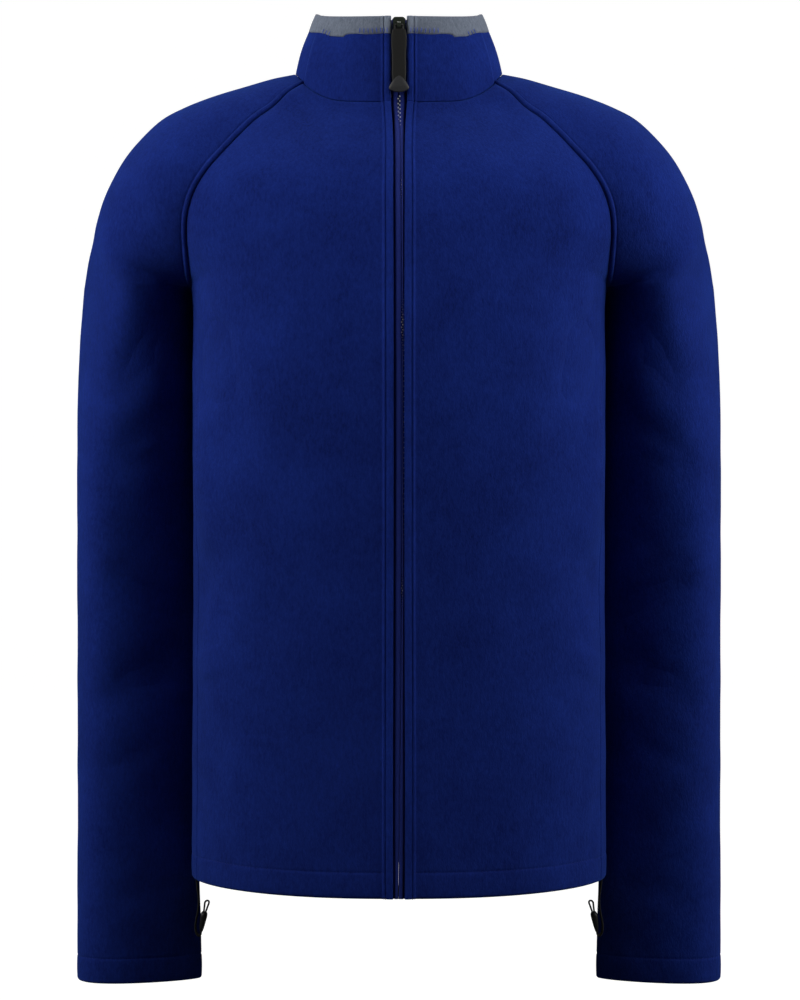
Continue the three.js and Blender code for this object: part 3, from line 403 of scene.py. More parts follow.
@dataclass(frozen=True)
class BodyForm:
    """The plain form of the jacket's body: a squared ellipse at each height.

    Levels below sag_start droop, and the hem lies higher at the sides and at the back by the
    two rises. Above the armpit the width passes to the raglan seam's within blend.
    """

    squareness: float = 2.4
    blend: float = 45.0
    sag_start: float = -480.0
    side_rise: float = 5.5
    back_rise: float = 3.0

    def half_width(self, z: np.ndarray, is_front: np.ndarray) -> np.ndarray:
        """Half width; above the armpit it makes the section pass through the raglan seam.

        Args:
            z: Heights.
            is_front: Where the section's front half is asked for.

        Returns:
            The half widths.
        """
        seam_x = np.where(is_front, FRONT_BY_HEIGHT(z, "x"), BACK_BY_HEIGHT(z, "x"))
        seam_y = np.where(is_front, FRONT_BY_HEIGHT(z, "y"), BACK_BY_HEIGHT(z, "y"))
        share = np.clip(np.abs(seam_y) / self.depth(z, is_front), 0.0, 0.999)
        above = seam_x / (1 - share**self.squareness) ** (1 / self.squareness)
        below = BODY(np.minimum(z, ARMPIT), "half")
        return mix(below, above, smooth_step((z - ARMPIT) / self.blend))

    def depth(self, z: np.ndarray, is_front: np.ndarray) -> np.ndarray:
        """Return the form's depth in front of or behind the mid plane."""
        return np.where(is_front, BODY(z, "front"), BODY(z, "back"))

    def point(self, angle: np.ndarray, z: np.ndarray) -> np.ndarray:
        """Points of the form: sine and cosine of the angle to a power, times width and depth.

        Args:
            angle: Angles round the form, 0 at centre front and pi at centre back.
            z: Heights.

        Returns:
            The points, with x, y and z on a last axis.
        """
        angle, z = np.broadcast_arrays(angle, z)
        is_front = angle <= math.pi / 2
        power = 2 / self.squareness
        x = self.half_width(z, is_front) * np.abs(np.sin(angle)) ** power
        y = self.depth(z, is_front) * np.abs(np.cos(angle)) ** power
        return np.stack([x, np.where(is_front, -y, y), z], axis=-1)

    def angle_of_depth(self, y: np.ndarray, z: np.ndarray) -> np.ndarray:
        """Angle at which the form is a distance behind the mid plane.

        Args:
            y: The distance, below 0 in front of the plane.
            z: Heights.

        Returns:
            The angles.
        """
        share = np.clip(np.abs(y) / self.depth(z, y <= 0), 0.0, 1.0)
        from_front = np.arccos(share ** (self.squareness / 2))
        return np.where(y <= 0, from_front, math.pi - from_front)

    def angle_of_width(self, x: np.ndarray, z: np.ndarray) -> np.ndarray:
        """Angle at which the front of the form is a distance from the mid plane.

        Args:
            x: The distance.
            z: Heights.

        Returns:
            The angles.
        """
        x, z = np.broadcast_arrays(x, z)
        half = self.half_width(z, np.ones(z.shape, bool))
        return np.arcsin((x / half) ** (self.squareness / 2))

    def droop(self, angle: np.ndarray, z: np.ndarray) -> np.ndarray:
        """How far the hem's droop lifts a point: most at the sides, none at centre front.

        Args:
            angle: Angles round the form.
            z: Heights.

        Returns:
            The lifts.
        """
        share = np.clip((self.sag_start - z) / (self.sag_start - HEM_FRONT), 0.0, 1.0)
        back = np.where(angle > math.pi / 2, np.cos(angle) ** 2 * self.back_rise, 0.0)
        return share * (np.sin(angle) ** 2 * self.side_rise + back)


@dataclass(frozen=True)
class EdgeBand:
    """The front edge, folded back and topstitched beside the zip.

    The marks are the places of the grid's columns across it, and stitch is one of them.
    """

    width: float = 7.4
    foot: float = 1.2
    rise: float = 1.25
    free_round: float = 1.5
    pillow: float = 0.35
    stitch: float = 5.9
    marks: tuple[float, ...] = (0.0, 0.25, 0.6, 1.1, 1.8, 2.8, 3.9, 4.9, 5.5, 5.9, 6.2, 6.5, 6.9, 7.4, 7.8,
                                8.2, 8.6)

    def height(self) -> np.ndarray:
        """Height over each mark: a rounded free edge, a soft swell, a sunk stitch line, a foot.

        Returns:
            The heights.
        """
        marks = np.array(self.marks)
        plateau = 1 - smooth_step((marks - self.width) / self.foot)
        free = turned_edge(marks, self.free_round, self.free_round)
        pillow = self.pillow * np.sin(np.pi * np.clip(marks / self.stitch, 0, 1))
        return self.rise * plateau - free + pillow - bump(marks, self.stitch, 0.5)


@dataclass(frozen=True)
class TurnedHem:
    """A hem or cuff turned up inside and stitched.

    The marks are the places of the grid's rows above the edge, and fold is one of them.
    """

    fold: float = 20.0
    doubled: float = 4.6
    swell: float = 0.35
    turn: tuple[float, float] = (2.3, 2.0)
    marks: tuple[float, ...] = (0.0, 0.3, 0.7, 1.2, 1.9, 2.8, 4.2, 6.4, 9.0, 12.0, 15.0, 17.4, 18.6, 19.3,
                                20.0, 20.7, 21.4, 22.6, 24.6)

    def height(self, above: np.ndarray) -> np.ndarray:
        """Height of the outer face: a swell below the stitch line, which sinks."""
        swell = np.sin(np.pi * np.clip(above / self.fold, 0, 1)) ** 0.7 - bump(above, self.fold, 0.8)
        return self.swell * swell - turned_edge(above, *self.turn)

    def wall(self, above: np.ndarray) -> np.ndarray:
        """Return the cloth's thickness: double up to the fold's height."""
        doubled = 1 - smooth_step((above - self.fold - 0.5) / 1.6)
        return CLOTH + (self.doubled - CLOTH) * doubled - turned_edge(above, *self.turn)


@dataclass(frozen=True)
class SeamRoll:
    """The rolled, topstitched edge of the sleeve along the raglan seams.

    The marks are the places of the grid's columns away from the seam, and stitch is one of them.
    """

    rise: float = 1.9
    half: float = 2.05
    stitch: float = 4.5
    marks: tuple[float, ...] = (0.0, 0.25, 0.55, 0.95, 1.5, 2.2, 2.9, 3.5, 4.0, 4.5, 5.1, 5.6, 6.6)

    def height(self, away: np.ndarray, points: np.ndarray) -> np.ndarray:
        """Height of the roll: a half round of uneven width, then its stitched ditch.

        Args:
            away: Distances from the seam.
            points: The points there, which make the roll uneven.

        Returns:
            The heights.
        """
        uneven = 1 + 0.1 * np.sin(points[..., 2] / 6.3 + points[..., 0] / 9.0)
        roll = np.sqrt(np.clip(1 - ((away - self.half) / (self.half * uneven)) ** 2, 0, 1))
        ditch = 0.3 * bump(away, self.stitch + 0.2, 0.6)
        return self.rise * roll - ditch - turned_edge(away, 0.5, 1.2)


@dataclass(frozen=True)
class PocketMouth:
    """The pocket mouth in the side seam.

    The front's edge stands out by swell half way, and is drawn round to the front by draw,
    in radians.
    """

    top: float = -238.0
    bottom: float = -354.0
    swell: float = 4.2
    draw: float = 2.2 / 150

    def open(self, z: np.ndarray) -> np.ndarray:
        """How open the mouth is at a height: 0 at its ends, 1 half way."""
        share = np.clip((z - self.bottom) / (self.top - self.bottom), 0.0, 1.0)
        return np.sin(np.pi * share) ** 1.2


FORM = BodyForm()
BAND = EdgeBand()
HEM = TurnedHem()
ROLL = SeamRoll()
MOUTH = PocketMouth()


def directions(points: np.ndarray) -> np.ndarray:
    """Unit normals of a grid: the cross product of its steps along columns and along rows.

    Args:
        points: Rows x columns x 3.

    Returns:
        The normals, rows x columns x 3.
    """
    along = np.gradient(points, axis=1)
    up = np.gradient(points, axis=0)
    normal = np.cross(along, up)
    return normal / np.maximum(np.linalg.norm(normal, axis=-1, keepdims=True), 1e-9)


def run_lengths(points: np.ndarray, axis: int) -> np.ndarray:
    """Distances along a grid's lines: the running sum of the lengths of its steps.

    Args:
        points: Rows x columns x 3.
        axis: 1 along its rows, 0 along its columns.

    Returns:
        The distances, rows x columns, from 0.
    """
    steps = np.linalg.norm(np.diff(points, axis=axis), axis=-1)
    pad = [(0, 0), (0, 0)]
    pad[axis] = (1, 0)
    return np.pad(np.cumsum(steps, axis=axis), pad)


class Edge(Enum):
    """A cloth's edges: the grid's axis that runs to each, and whether it ends that axis."""

    START = (1, False)
    END = (1, True)
    BOTTOM = (0, False)
    TOP = (0, True)


@dataclass
class Cloth:
    """A piece of cloth on a grid of points, rows from bottom to top.

    Attributes:
        points: Rows x columns x 3, the plain form of the outer face.
        wall: Thickness at each point.
        raised: Height of the outer face over the plain form.
    """

    points: np.ndarray
    wall: np.ndarray
    raised: np.ndarray
    outward: np.ndarray = field(init=False)

    def __post_init__(self) -> None:
        """Work out the outward directions."""
        self.outward = directions(self.points)

    def edge_distance(self, edge: Edge) -> np.ndarray:
        """Return the distance of every point from an edge, along the grid."""
        axis, at_end = edge.value
        run = run_lengths(self.points, axis)
        return run.take([-1], axis) - run if at_end else run

    def turn_in(self, edge: Edge, radius: float, depth: float) -> Cloth:
        """Sink the outer face at an edge in a quarter round, and return the cloth."""
        self.raised = self.raised - turned_edge(self.edge_distance(edge), radius, depth)
        return self

    def outer(self) -> np.ndarray:
        """Return the outer face's points."""
        return self.points + self.outward * self.raised[..., None]

    def inner(self) -> np.ndarray:
        """Points of the inner face, a little rounded at every edge.

        Returns:
            Rows x columns x 3.
        """
        rounding = np.zeros(self.raised.shape)
        for edge in Edge:
            rounding = np.maximum(rounding, turned_edge(self.edge_distance(edge), 1.6, 0.7))
        return self.points - self.outward * (self.wall - rounding)[..., None]

    def area(self) -> float:
        """Area of the plain form: the sum of its steps' cross products.

        Returns:
            The area in square metres.
        """
        across = np.diff(self.points, axis=1)[:-1]
        up = np.diff(self.points, axis=0)[:, :-1]
        return float(np.linalg.norm(np.cross(across, up), axis=-1).sum()) * MM**2

    def cut(self) -> tuple[float, float]:
        """Width and length of the flat cut, at their greatest.

        Returns:
            Both in metres.
        """
        width = run_lengths(self.points, 1)[:, -1].max()
        length = run_lengths(self.points, 0)[-1].max()
        return float(width) * MM, float(length) * MM

    def shell(self) -> Mesh:
        """Closed mesh of both faces and the rim between them.

        Returns:
            Points and quads.
        """
        rows, columns = self.raised.shape
        vertices = np.concatenate([self.outer().reshape(-1, 3), self.inner().reshape(-1, 3)])
        index = np.arange(rows * columns).reshape(rows, columns)
        face = grid_faces(index)
        ring = np.concatenate([index[0, :-1], index[:-1, -1], index[-1, :0:-1], index[:0:-1, 0]])
        following = np.roll(ring, -1)
        half = rows * columns
        rim = np.stack([ring, ring + half, following + half, following], axis=-1)
        return vertices, np.concatenate([face, face[:, ::-1] + half, rim])


def grid_faces(index: np.ndarray) -> np.ndarray:
    """Return the quads between a grid's neighbouring rows and columns of point numbers."""
    quads = np.stack([index[:-1, :-1], index[:-1, 1:], index[1:, 1:], index[1:, :-1]], axis=-1)
    return quads.reshape(-1, 4)


class Side(Enum):
    """The wearer's two sides, with the sign of x there."""

    LEFT = 1
    RIGHT = -1

    @property
    def word(self) -> str:
        """Return the side's name as it stands in the nodes' names."""
        return self.name.lower()


def mesh_object(name: str, vertices: np.ndarray, faces: np.ndarray, side: int = 1) -> bpy.types.Object:
    """Make an object of quads, mirrored to the wearer's right where side is -1.

    Args:
        name: The piece's name.
        vertices: Points in millimetres.
        faces: Four indices for each face, running anticlockwise seen from outside.
        side: The sign of x.

    Returns:
        The new object, smooth and at the origin.
    """
    placed = vertices * np.array([side, 1, 1]) * MM
    turned = faces if side > 0 else faces[:, ::-1]
    mesh = bpy.data.meshes.new(name)
    mesh.vertices.add(len(placed))
    mesh.vertices.foreach_set("co", placed.astype(np.float32).ravel())
    mesh.loops.add(turned.size)
    mesh.loops.foreach_set("vertex_index", turned.astype(np.int32).ravel())
    mesh.polygons.add(len(turned))
    mesh.polygons.foreach_set("loop_start", np.arange(0, turned.size, 4, dtype=np.int32))
    mesh.polygons.foreach_set("use_smooth", np.ones(len(turned), bool))
    mesh.update(calc_edges=True)
    piece = bpy.data.objects.new(name, mesh)
    bpy.context.scene.collection.objects.link(piece)
    return piece


def tube_faces(rings: int, corners: int) -> np.ndarray:
    """Quads of a tube of rings, with both ends filled by quads.

    Args:
        rings: Number of rings.
        corners: Points in each ring, an even number.

    Returns:
        The quads, facing outwards where the ring runs anticlockwise seen from the far end.
    """
    index = np.arange(rings * corners).reshape(rings, corners)
    sides = grid_faces(np.concatenate([index, index[:, :1]], axis=1))
    half = np.arange(corners // 2 - 1)
    cap = np.stack([corners - 1 - half, corners - 2 - half, half + 1, half], axis=-1)
    return np.concatenate([sides, cap, cap[:, ::-1] + index[-1, 0]])


def squared_oval(corners: int, power: float) -> tuple[np.ndarray, np.ndarray]:
    """Places round an oval: cosine and sine of even angles, to a power that keeps their signs.

    Args:
        corners: Number of places.
        power: 1 for a circle; smaller is squarer.

    Returns:
        Places across and out, from -1 to 1.
    """
    angle = np.linspace(0, 2 * math.pi, corners + 1)[:-1]
    across, out = np.cos(angle), np.sin(angle)
    return np.sign(across) * np.abs(across) ** power, np.sign(out) * np.abs(out) ** power


def frames_along(path: np.ndarray, hint: np.ndarray) -> tuple[np.ndarray, np.ndarray, np.ndarray]:
    """Directions along a path, across it and out of it, from a rough outward hint.

    Args:
        path: Points of the path.
        hint: Rough outward directions, one for each point or one for all.

    Returns:
        Unit vectors along, across and out.
    """
    along = np.gradient(path, axis=0)
    along /= np.linalg.norm(along, axis=1, keepdims=True)
    across = np.cross(np.broadcast_to(hint, path.shape), along)
    across /= np.maximum(np.linalg.norm(across, axis=1, keepdims=True), 1e-9)
    return along, across, np.cross(along, across)


def resample(path: np.ndarray, step: float) -> np.ndarray:
    """Read a path's values at even steps along it.

    Args:
        path: Rows of values, the first three of them a point.
        step: Distance between the new rows.

    Returns:
        The new rows.
    """
    run = np.concatenate([[0], np.cumsum(np.linalg.norm(np.diff(path[:, :3], axis=0), axis=1))])
    count = max(2, int(run[-1] // step) + 1)
    places = np.linspace(0, run[-1], count)
    return np.stack([np.interp(places, run, column) for column in path.T], axis=1)


@dataclass(frozen=True)
class Bar:
    """A short six-sided bar of three rings, as a thread or a tooth.

    Each ring has a place along the bar, a width, and a dip outwards of its centre.
    """

    place: tuple[float, ...]
    width: tuple[float, ...]
    dip: tuple[float, ...] = (0.0, 0.0, 0.0)

    def repeated(self, centre: np.ndarray, axes: tuple[np.ndarray, np.ndarray, np.ndarray]) -> Mesh:
        """Put a bar at every centre.

        Args:
            centre: Centres, one for each bar.
            axes: Directions along, beside and out of each bar.

        Returns:
            Points and quads of all the bars.
        """
        place, width, dip = np.array([self.place, self.width, self.dip])
        across, out = squared_oval(6, 1.0)
        local = np.stack([place[:, None] + 0 * across, width[:, None] * across,
                          width[:, None] * out + dip[:, None]])
        points = centre[:, None, None] + np.einsum("akc,anx->nkcx", local, np.stack(axes))
        faces = tube_faces(3, 6)
        shift = np.arange(len(centre)) * 18
        return points.reshape(-1, 3), (faces[None] + shift[:, None, None]).reshape(-1, 4)


@dataclass(frozen=True)
class Stitching:
    """A run of short threads.

    Threads lie at every pitch, sink into the cloth, and lean off their line, in radians.
    """

    pitch: float = 3.2
    length: float = 2.5
    radius: float = 0.3
    sink: float = 0.12
    lean: float = 0.0

    def mesh(self, path: np.ndarray, outward: np.ndarray) -> Mesh:
        """Lay threads along a path, each a bar that bends down at its ends.

        Args:
            path: The line that the threads follow.
            outward: Outward directions along it.

        Returns:
            Points and quads of all the threads.
        """
        both = resample(np.concatenate([path, outward], axis=1), self.pitch)
        along, across, out = frames_along(both[:, :3], both[:, 3:])
        leaning = along * math.cos(self.lean) + across * math.sin(self.lean)
        beside = across * math.cos(self.lean) - along * math.sin(self.lean)
        low = -0.9 * self.radius - self.sink
        thread = Bar((-0.5 * self.length, 0.0, 0.5 * self.length),
                     (0.5 * self.radius, self.radius, 0.5 * self.radius), (low, -self.sink, low))
        return thread.repeated(both[:, :3], (leaning, beside, out))


def joined(parts: list[Mesh]) -> Mesh:
    """Put several meshes of quads in one: all their points, and quads counted on.

    Args:
        parts: The meshes.

    Returns:
        Points and quads.
    """
    starts = np.cumsum([0] + [len(vertices) for vertices, _ in parts[:-1]])
    vertices = np.concatenate([vertices for vertices, _ in parts])
    return vertices, np.concatenate([faces + start for (_, faces), start in zip(parts, starts)])


def mirrored(part: Mesh) -> Mesh:
    """Return a mesh with its twin on the wearer's other side added to it."""
    vertices, faces = part
    return joined([part, (vertices * np.array([-1, 1, 1]), faces[:, ::-1])])


class Nodes:
    """Makes and joins the nodes of one material or group."""

    def __init__(self, tree: bpy.types.NodeTree) -> None:
        """Start from an empty tree."""
        self.tree = tree
        tree.nodes.clear()

    def add(self, kind: str, **settings: object) -> bpy.types.Node:
        """Add a node.

        Args:
            kind: The node's type.
            settings: Its properties, or its inputs' values under their names.

        Returns:
            The node.
        """
        node = self.tree.nodes.new(kind)
        for key, value in settings.items():
            if hasattr(node, key):
                setattr(node, key, value)
            else:
                node.inputs[key.replace("_", " ")].default_value = value
        return node

    def link(self, source: bpy.types.NodeSocket, target: bpy.types.NodeSocket) -> None:
        """Join two sockets."""
        self.tree.links.new(source, target)

    def pattern(self, group: str, vector: bpy.types.NodeSocket, **values: float) -> bpy.types.Node:
        """Add a shared pattern group on a vector.

        Args:
            group: The group's name.
            vector: The place that the pattern is read at.
            values: Values of the group's inputs.

        Returns:
            The group's node.
        """
        node = self.add("ShaderNodeGroup", node_tree=bpy.data.node_groups[group])
        for key, value in values.items():
            node.inputs[key].default_value = value
        self.link(vector, node.inputs["Vector"])
        return node

    def noise(self, vector: bpy.types.NodeSocket, scale: float, detail: float) -> bpy.types.NodeSocket:
        """Add noise on a vector.

        Args:
            vector: The place that the noise is read at.
            scale: Its scale.
            detail: Its detail.

        Returns:
            The noise's value.
        """
        node = self.add("ShaderNodeTexNoise", Scale=scale, Detail=detail)
        self.link(vector, node.inputs["Vector"])
        return node.outputs["Fac"]

    def math(self, operation: str, first: object, second: object) -> bpy.types.NodeSocket:
        """Add a sum of two sockets or numbers.

        Args:
            operation: The sum's kind.
            first: A socket or a number.
            second: Another.

        Returns:
            The result's socket.
        """
        node = self.add("ShaderNodeMath", operation=operation)
        for place, value in enumerate((first, second)):
            if isinstance(value, bpy.types.NodeSocket):
                self.link(value, node.inputs[place])
            else:
                node.inputs[place].default_value = value
        return node.outputs[0]


class PatternGroup(Nodes):
    """A node group on a vector, with number inputs and outputs."""

    def __init__(self, name: str, inputs: dict[str, float], outputs: tuple[str, ...]) -> None:
        """Make the group, its sockets and its two end nodes.

        Args:
            name: The group's name.
            inputs: Input names with their usual values.
            outputs: Output names.
        """
        group = bpy.data.node_groups.new(name, "ShaderNodeTree")
        super().__init__(group)
        group.interface.new_socket("Vector", in_out="INPUT", socket_type="NodeSocketVector")
        for key, value in inputs.items():
            socket = group.interface.new_socket(key, in_out="INPUT", socket_type="NodeSocketFloat")
            socket.default_value = value
        for key in outputs:
            group.interface.new_socket(key, in_out="OUTPUT", socket_type="NodeSocketFloat")
        self.given = self.add("NodeGroupInput").outputs
        self.out = self.add("NodeGroupOutput").inputs


def nap_group() -> None:
    """Make brushed pile: short upright streaks and specks, and broad patches where it lies over."""
    nodes = PatternGroup("Nap", {"Streaks": 1.0, "Patches": 1.0}, ("Tone", "Height"))
    drawn = nodes.add("ShaderNodeMapping")
    drawn.inputs["Scale"].default_value = (1.0, 1.0, 0.36)
    nodes.link(nodes.given["Vector"], drawn.inputs["Vector"])
    fine = nodes.noise(drawn.outputs[0], 1500.0, 2.0)
    tuft = nodes.noise(drawn.outputs[0], 520.0, 2.0)
    patch = nodes.noise(nodes.given["Vector"], 21.0, 3.0)
    cloud = nodes.noise(nodes.given["Vector"], 60.0, 2.0)
    pile = nodes.math("ADD", nodes.math("MULTIPLY", fine, 0.5), nodes.math("MULTIPLY", tuft, 0.5))
    broad = nodes.math("ADD", nodes.math("MULTIPLY", patch, 0.65), nodes.math("MULTIPLY", cloud, 0.35))
    streaked = nodes.math("MULTIPLY", nodes.math("SUBTRACT", pile, 0.5), nodes.given["Streaks"])
    patched = nodes.math("MULTIPLY", nodes.math("SUBTRACT", broad, 0.5), nodes.given["Patches"])
    nodes.link(nodes.math("ADD", nodes.math("ADD", streaked, patched), 0.5), nodes.out["Tone"])
    nodes.link(pile, nodes.out["Height"])


def knit_group() -> None:
    """Make the fine ribs of a knit or woven tape: waves across and along, broken by noise."""
    nodes = PatternGroup("Knit", {"Rib": 900.0}, ("Tone", "Height"))
    waves = []
    for direction in ("X", "Z"):
        wave = nodes.add("ShaderNodeTexWave", bands_direction=direction, Distortion=1.2, Detail=1.0)
        nodes.link(nodes.given["Vector"], wave.inputs["Vector"])
        nodes.link(nodes.given["Rib"], wave.inputs["Scale"])
        waves.append(wave.outputs["Fac"])
    weave = nodes.math("MULTIPLY", nodes.math("ADD", *waves), 0.5)
    speck = nodes.noise(nodes.given["Vector"], 700.0, 2.0)
    both = nodes.math("ADD", nodes.math("MULTIPLY", weave, 0.6), nodes.math("MULTIPLY", speck, 0.4))
    nodes.link(both, nodes.out["Tone"])
    nodes.link(both, nodes.out["Height"])


def band_group() -> None:
    """Make the mask of the painted highlight on the stitched front edge bands: 1 on both bands."""
    nodes = PatternGroup("Pressed band", {"Inner": 0.005, "Outer": 0.013}, ("Mask",))
    parts = nodes.add("ShaderNodeSeparateXYZ")
    nodes.link(nodes.given["Vector"], parts.inputs[0])
    away = nodes.math("ABSOLUTE", parts.outputs["X"], 0.0)
    inside = nodes.math("GREATER_THAN", away, nodes.given["Inner"])
    short = nodes.math("LESS_THAN", away, nodes.given["Outer"])
    front = nodes.math("LESS_THAN", parts.outputs["Y"], 0.0)
    nodes.link(nodes.math("MULTIPLY", nodes.math("MULTIPLY", inside, short), front), nodes.out["Mask"])


class Pattern(Enum):
    """The patterns that a finish may have, by the names of their groups."""

    NAP = "Nap"
    KNIT = "Knit"


def nap(streaks: float, patches: float) -> tuple[tuple[str, float], ...]:
    """Return the nap group's values by the names of its inputs."""
    return ("Streaks", streaks), ("Patches", patches)


@dataclass(frozen=True)
class Finish:
    """A finish made from a pattern group that shades between two colours and raises a bump.

    The pattern's low places are dark. Sheen is the weight of the soft glow of fibre ends, depth
    the bump's height in metres, settings the values of the group's inputs, and the last field how
    much lighter the colour is painted on the stitched front edges: a painted highlight of the raised bands.
    """

    name: str
    dark: Place
    light: Place
    roughness: float
    sheen: float
    bump: float
    depth: float
    pattern: Pattern
    settings: tuple[tuple[str, float], ...] = ()
    specular: float = 0.2
    sheen_tint: Place = (1.0, 1.0, 1.0)
    pressed: float = 0.0

    def material(self) -> bpy.types.Material:
        """Build the finish's material, or find it where it is built already.

        Returns:
            The material.
        """
        if self.name in bpy.data.materials:
            return bpy.data.materials[self.name]
        material = bpy.data.materials.new(self.name)
        material.use_nodes = True
        nodes = Nodes(material.node_tree)
        place = nodes.add("ShaderNodeTexCoord").outputs["Object"]
        pattern = nodes.pattern(self.pattern.value, place, **dict(self.settings))
        colour = nodes.add("ShaderNodeMix", data_type="RGBA")
        colour.inputs[6].default_value = (*self.dark, 1)
        colour.inputs[7].default_value = (*self.light, 1)
        tone = pattern.outputs["Tone"]
        # Painted highlight: the colour is made lighter on the raised front edge bands.
        if self.pressed:
            mask = nodes.pattern("Pressed band", place).outputs["Mask"]
            tone = nodes.math("ADD", tone, nodes.math("MULTIPLY", mask, self.pressed))
        nodes.link(tone, colour.inputs[0])
        raised = nodes.add("ShaderNodeBump", Strength=self.bump, Distance=self.depth)
        nodes.link(pattern.outputs["Height"], raised.inputs["Height"])
        surface = nodes.add("ShaderNodeBsdfPrincipled", Roughness=self.roughness,
                            Specular_IOR_Level=self.specular, Sheen_Weight=self.sheen,
                            Sheen_Roughness=0.45, Sheen_Tint=(*self.sheen_tint, 1))
        nodes.link(colour.outputs[2], surface.inputs["Base Color"])
        nodes.link(raised.outputs["Normal"], surface.inputs["Normal"])
        end = nodes.add("ShaderNodeOutputMaterial")
        nodes.link(surface.outputs[0], end.inputs["Surface"])
        return material


# The last value of the fleece and of the grey facing lightens the front edge bands, a painted highlight.
FLEECE = Finish("Blue fleece", (0.0035, 0.0075, 0.085), (0.0125, 0.037, 0.29), 0.95, 0.22, 0.75, 0.0006,
                Pattern.NAP, nap(1.25, 0.8), 0.07, (0.09, 0.28, 1.0), 0.17)
GREY = Finish("Grey facing", (0.09, 0.108, 0.145), (0.25, 0.29, 0.37), 0.9, 0.12, 0.6, 0.0004,
              Pattern.NAP, nap(1.5, 0.5), 0.15, pressed=0.3)
TAPE_FINISH = Finish("Zip tape", (0.008, 0.014, 0.14), (0.022, 0.05, 0.36), 0.75, 0.15, 0.5, 0.0002,
                     Pattern.KNIT, (("Rib", 1100.0),))
THREAD = Finish("Blue thread", (0.004, 0.008, 0.09), (0.014, 0.04, 0.3), 0.6, 0.1, 0.4, 0.0001,
                Pattern.KNIT, (("Rib", 2200.0),))
EDGE_THREAD = Finish("Overlock thread", (0.016, 0.034, 0.3), (0.04, 0.11, 0.62), 0.6, 0.1, 0.4, 0.0001,
                     Pattern.KNIT, (("Rib", 2200.0),))
CORD_FINISH = Finish("Elastic cord", (0.004, 0.004, 0.005), (0.018, 0.018, 0.02), 0.7, 0.05, 0.7, 0.0003,
                     Pattern.KNIT, (("Rib", 1500.0),))
PLASTIC = Finish("Black plastic", (0.006, 0.006, 0.006), (0.014, 0.0135, 0.012), 0.42, 0.0, 0.15, 0.00008,
                 Pattern.NAP, nap(0.6, 0.4), 0.4)
PULLER_END_FINISH = Finish("Puller end", (0.024, 0.025, 0.026), (0.045, 0.046, 0.05), 0.5, 0.0, 0.2, 0.00008,
                           Pattern.NAP, nap(0.5, 0.5), 0.4)
SLIDER_FINISH = Finish("Slider enamel", (0.014, 0.018, 0.013), (0.04, 0.05, 0.036), 0.28, 0.0, 0.12, 0.00008,
                       Pattern.NAP, nap(0.8, 0.8), 0.6)
PULLER_FINISH = Finish("Puller rubber", (0.005, 0.005, 0.0045), (0.011, 0.0105, 0.009), 0.62, 0.0, 0.2,
                       0.00008, Pattern.NAP, nap(0.5, 0.4), 0.35)
TEETH_FINISH = Finish("Pale coil", (0.45, 0.45, 0.55), (0.8, 0.8, 0.88), 0.3, 0.0, 0.1, 0.00005,
                      Pattern.NAP, nap(0.3, 0.2), 0.5)


@dataclass
class Part:
    """A sub-assembly, which builds its pieces' meshes and then dresses them.

    The pieces are kept by name once they are built.
    """

    pieces: dict[str, bpy.types.Object] = field(default_factory=dict, init=False)

    def add(self, name: str, mesh: Mesh, side: int = 1) -> None:
        """Make a piece from a mesh, mirrored where side is -1, and keep it by its name."""
        self.pieces[name] = mesh_object(name, *mesh, side)

    def clothe(self, name: str, finish: Finish, slot: str, nodes: tuple[str, ...] = (),
               body: str = BODY_NAME) -> bpy.types.Object:
        """Give a piece its finish, its body and the CAD nodes that it stands for.

        Args:
            name: The piece's name.
            finish: Its finish.
            slot: The record's material slot. It is not used.
            nodes: CAD nodes that it replaces, besides one of its own name.
            body: The CAD body that it rides on.

        Returns:
            The piece.
        """
        piece = self.pieces[name]
        piece.data.materials.append(finish.material())
        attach(piece, body)
        own = name.lower().replace(".", "_")
        nodes = (*nodes, own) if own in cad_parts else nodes
        if nodes:
            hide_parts(*nodes)
        return piece


@dataclass
class HungPanel(Part):
    """A hung panel of fleece, on one side of the jacket or, without a side, across both."""

    side: Side | None = None
    cloth: Cloth = field(init=False)

    def __post_init__(self) -> None:
        """Cut the cloth."""
        self.cloth = self.cut_cloth()

    def cut_cloth(self) -> Cloth:
        """Lay out the panel's cloth, which each kind of panel does in its own way."""
        raise NotImplementedError

    def build(self) -> None:
        """Make the panel's mesh, named after its class and side."""
        word = type(self).__name__.removesuffix("Panel")
        self.add(f"{word}.{self.side.word}" if self.side else word, self.cloth.shell(),
                 self.side.value if self.side else 1)

    def dress(self) -> None:
        for name in self.pieces:
            self.clothe(name, FLEECE, "fleece")
            self.cloth.cut()
            self.cloth.area()


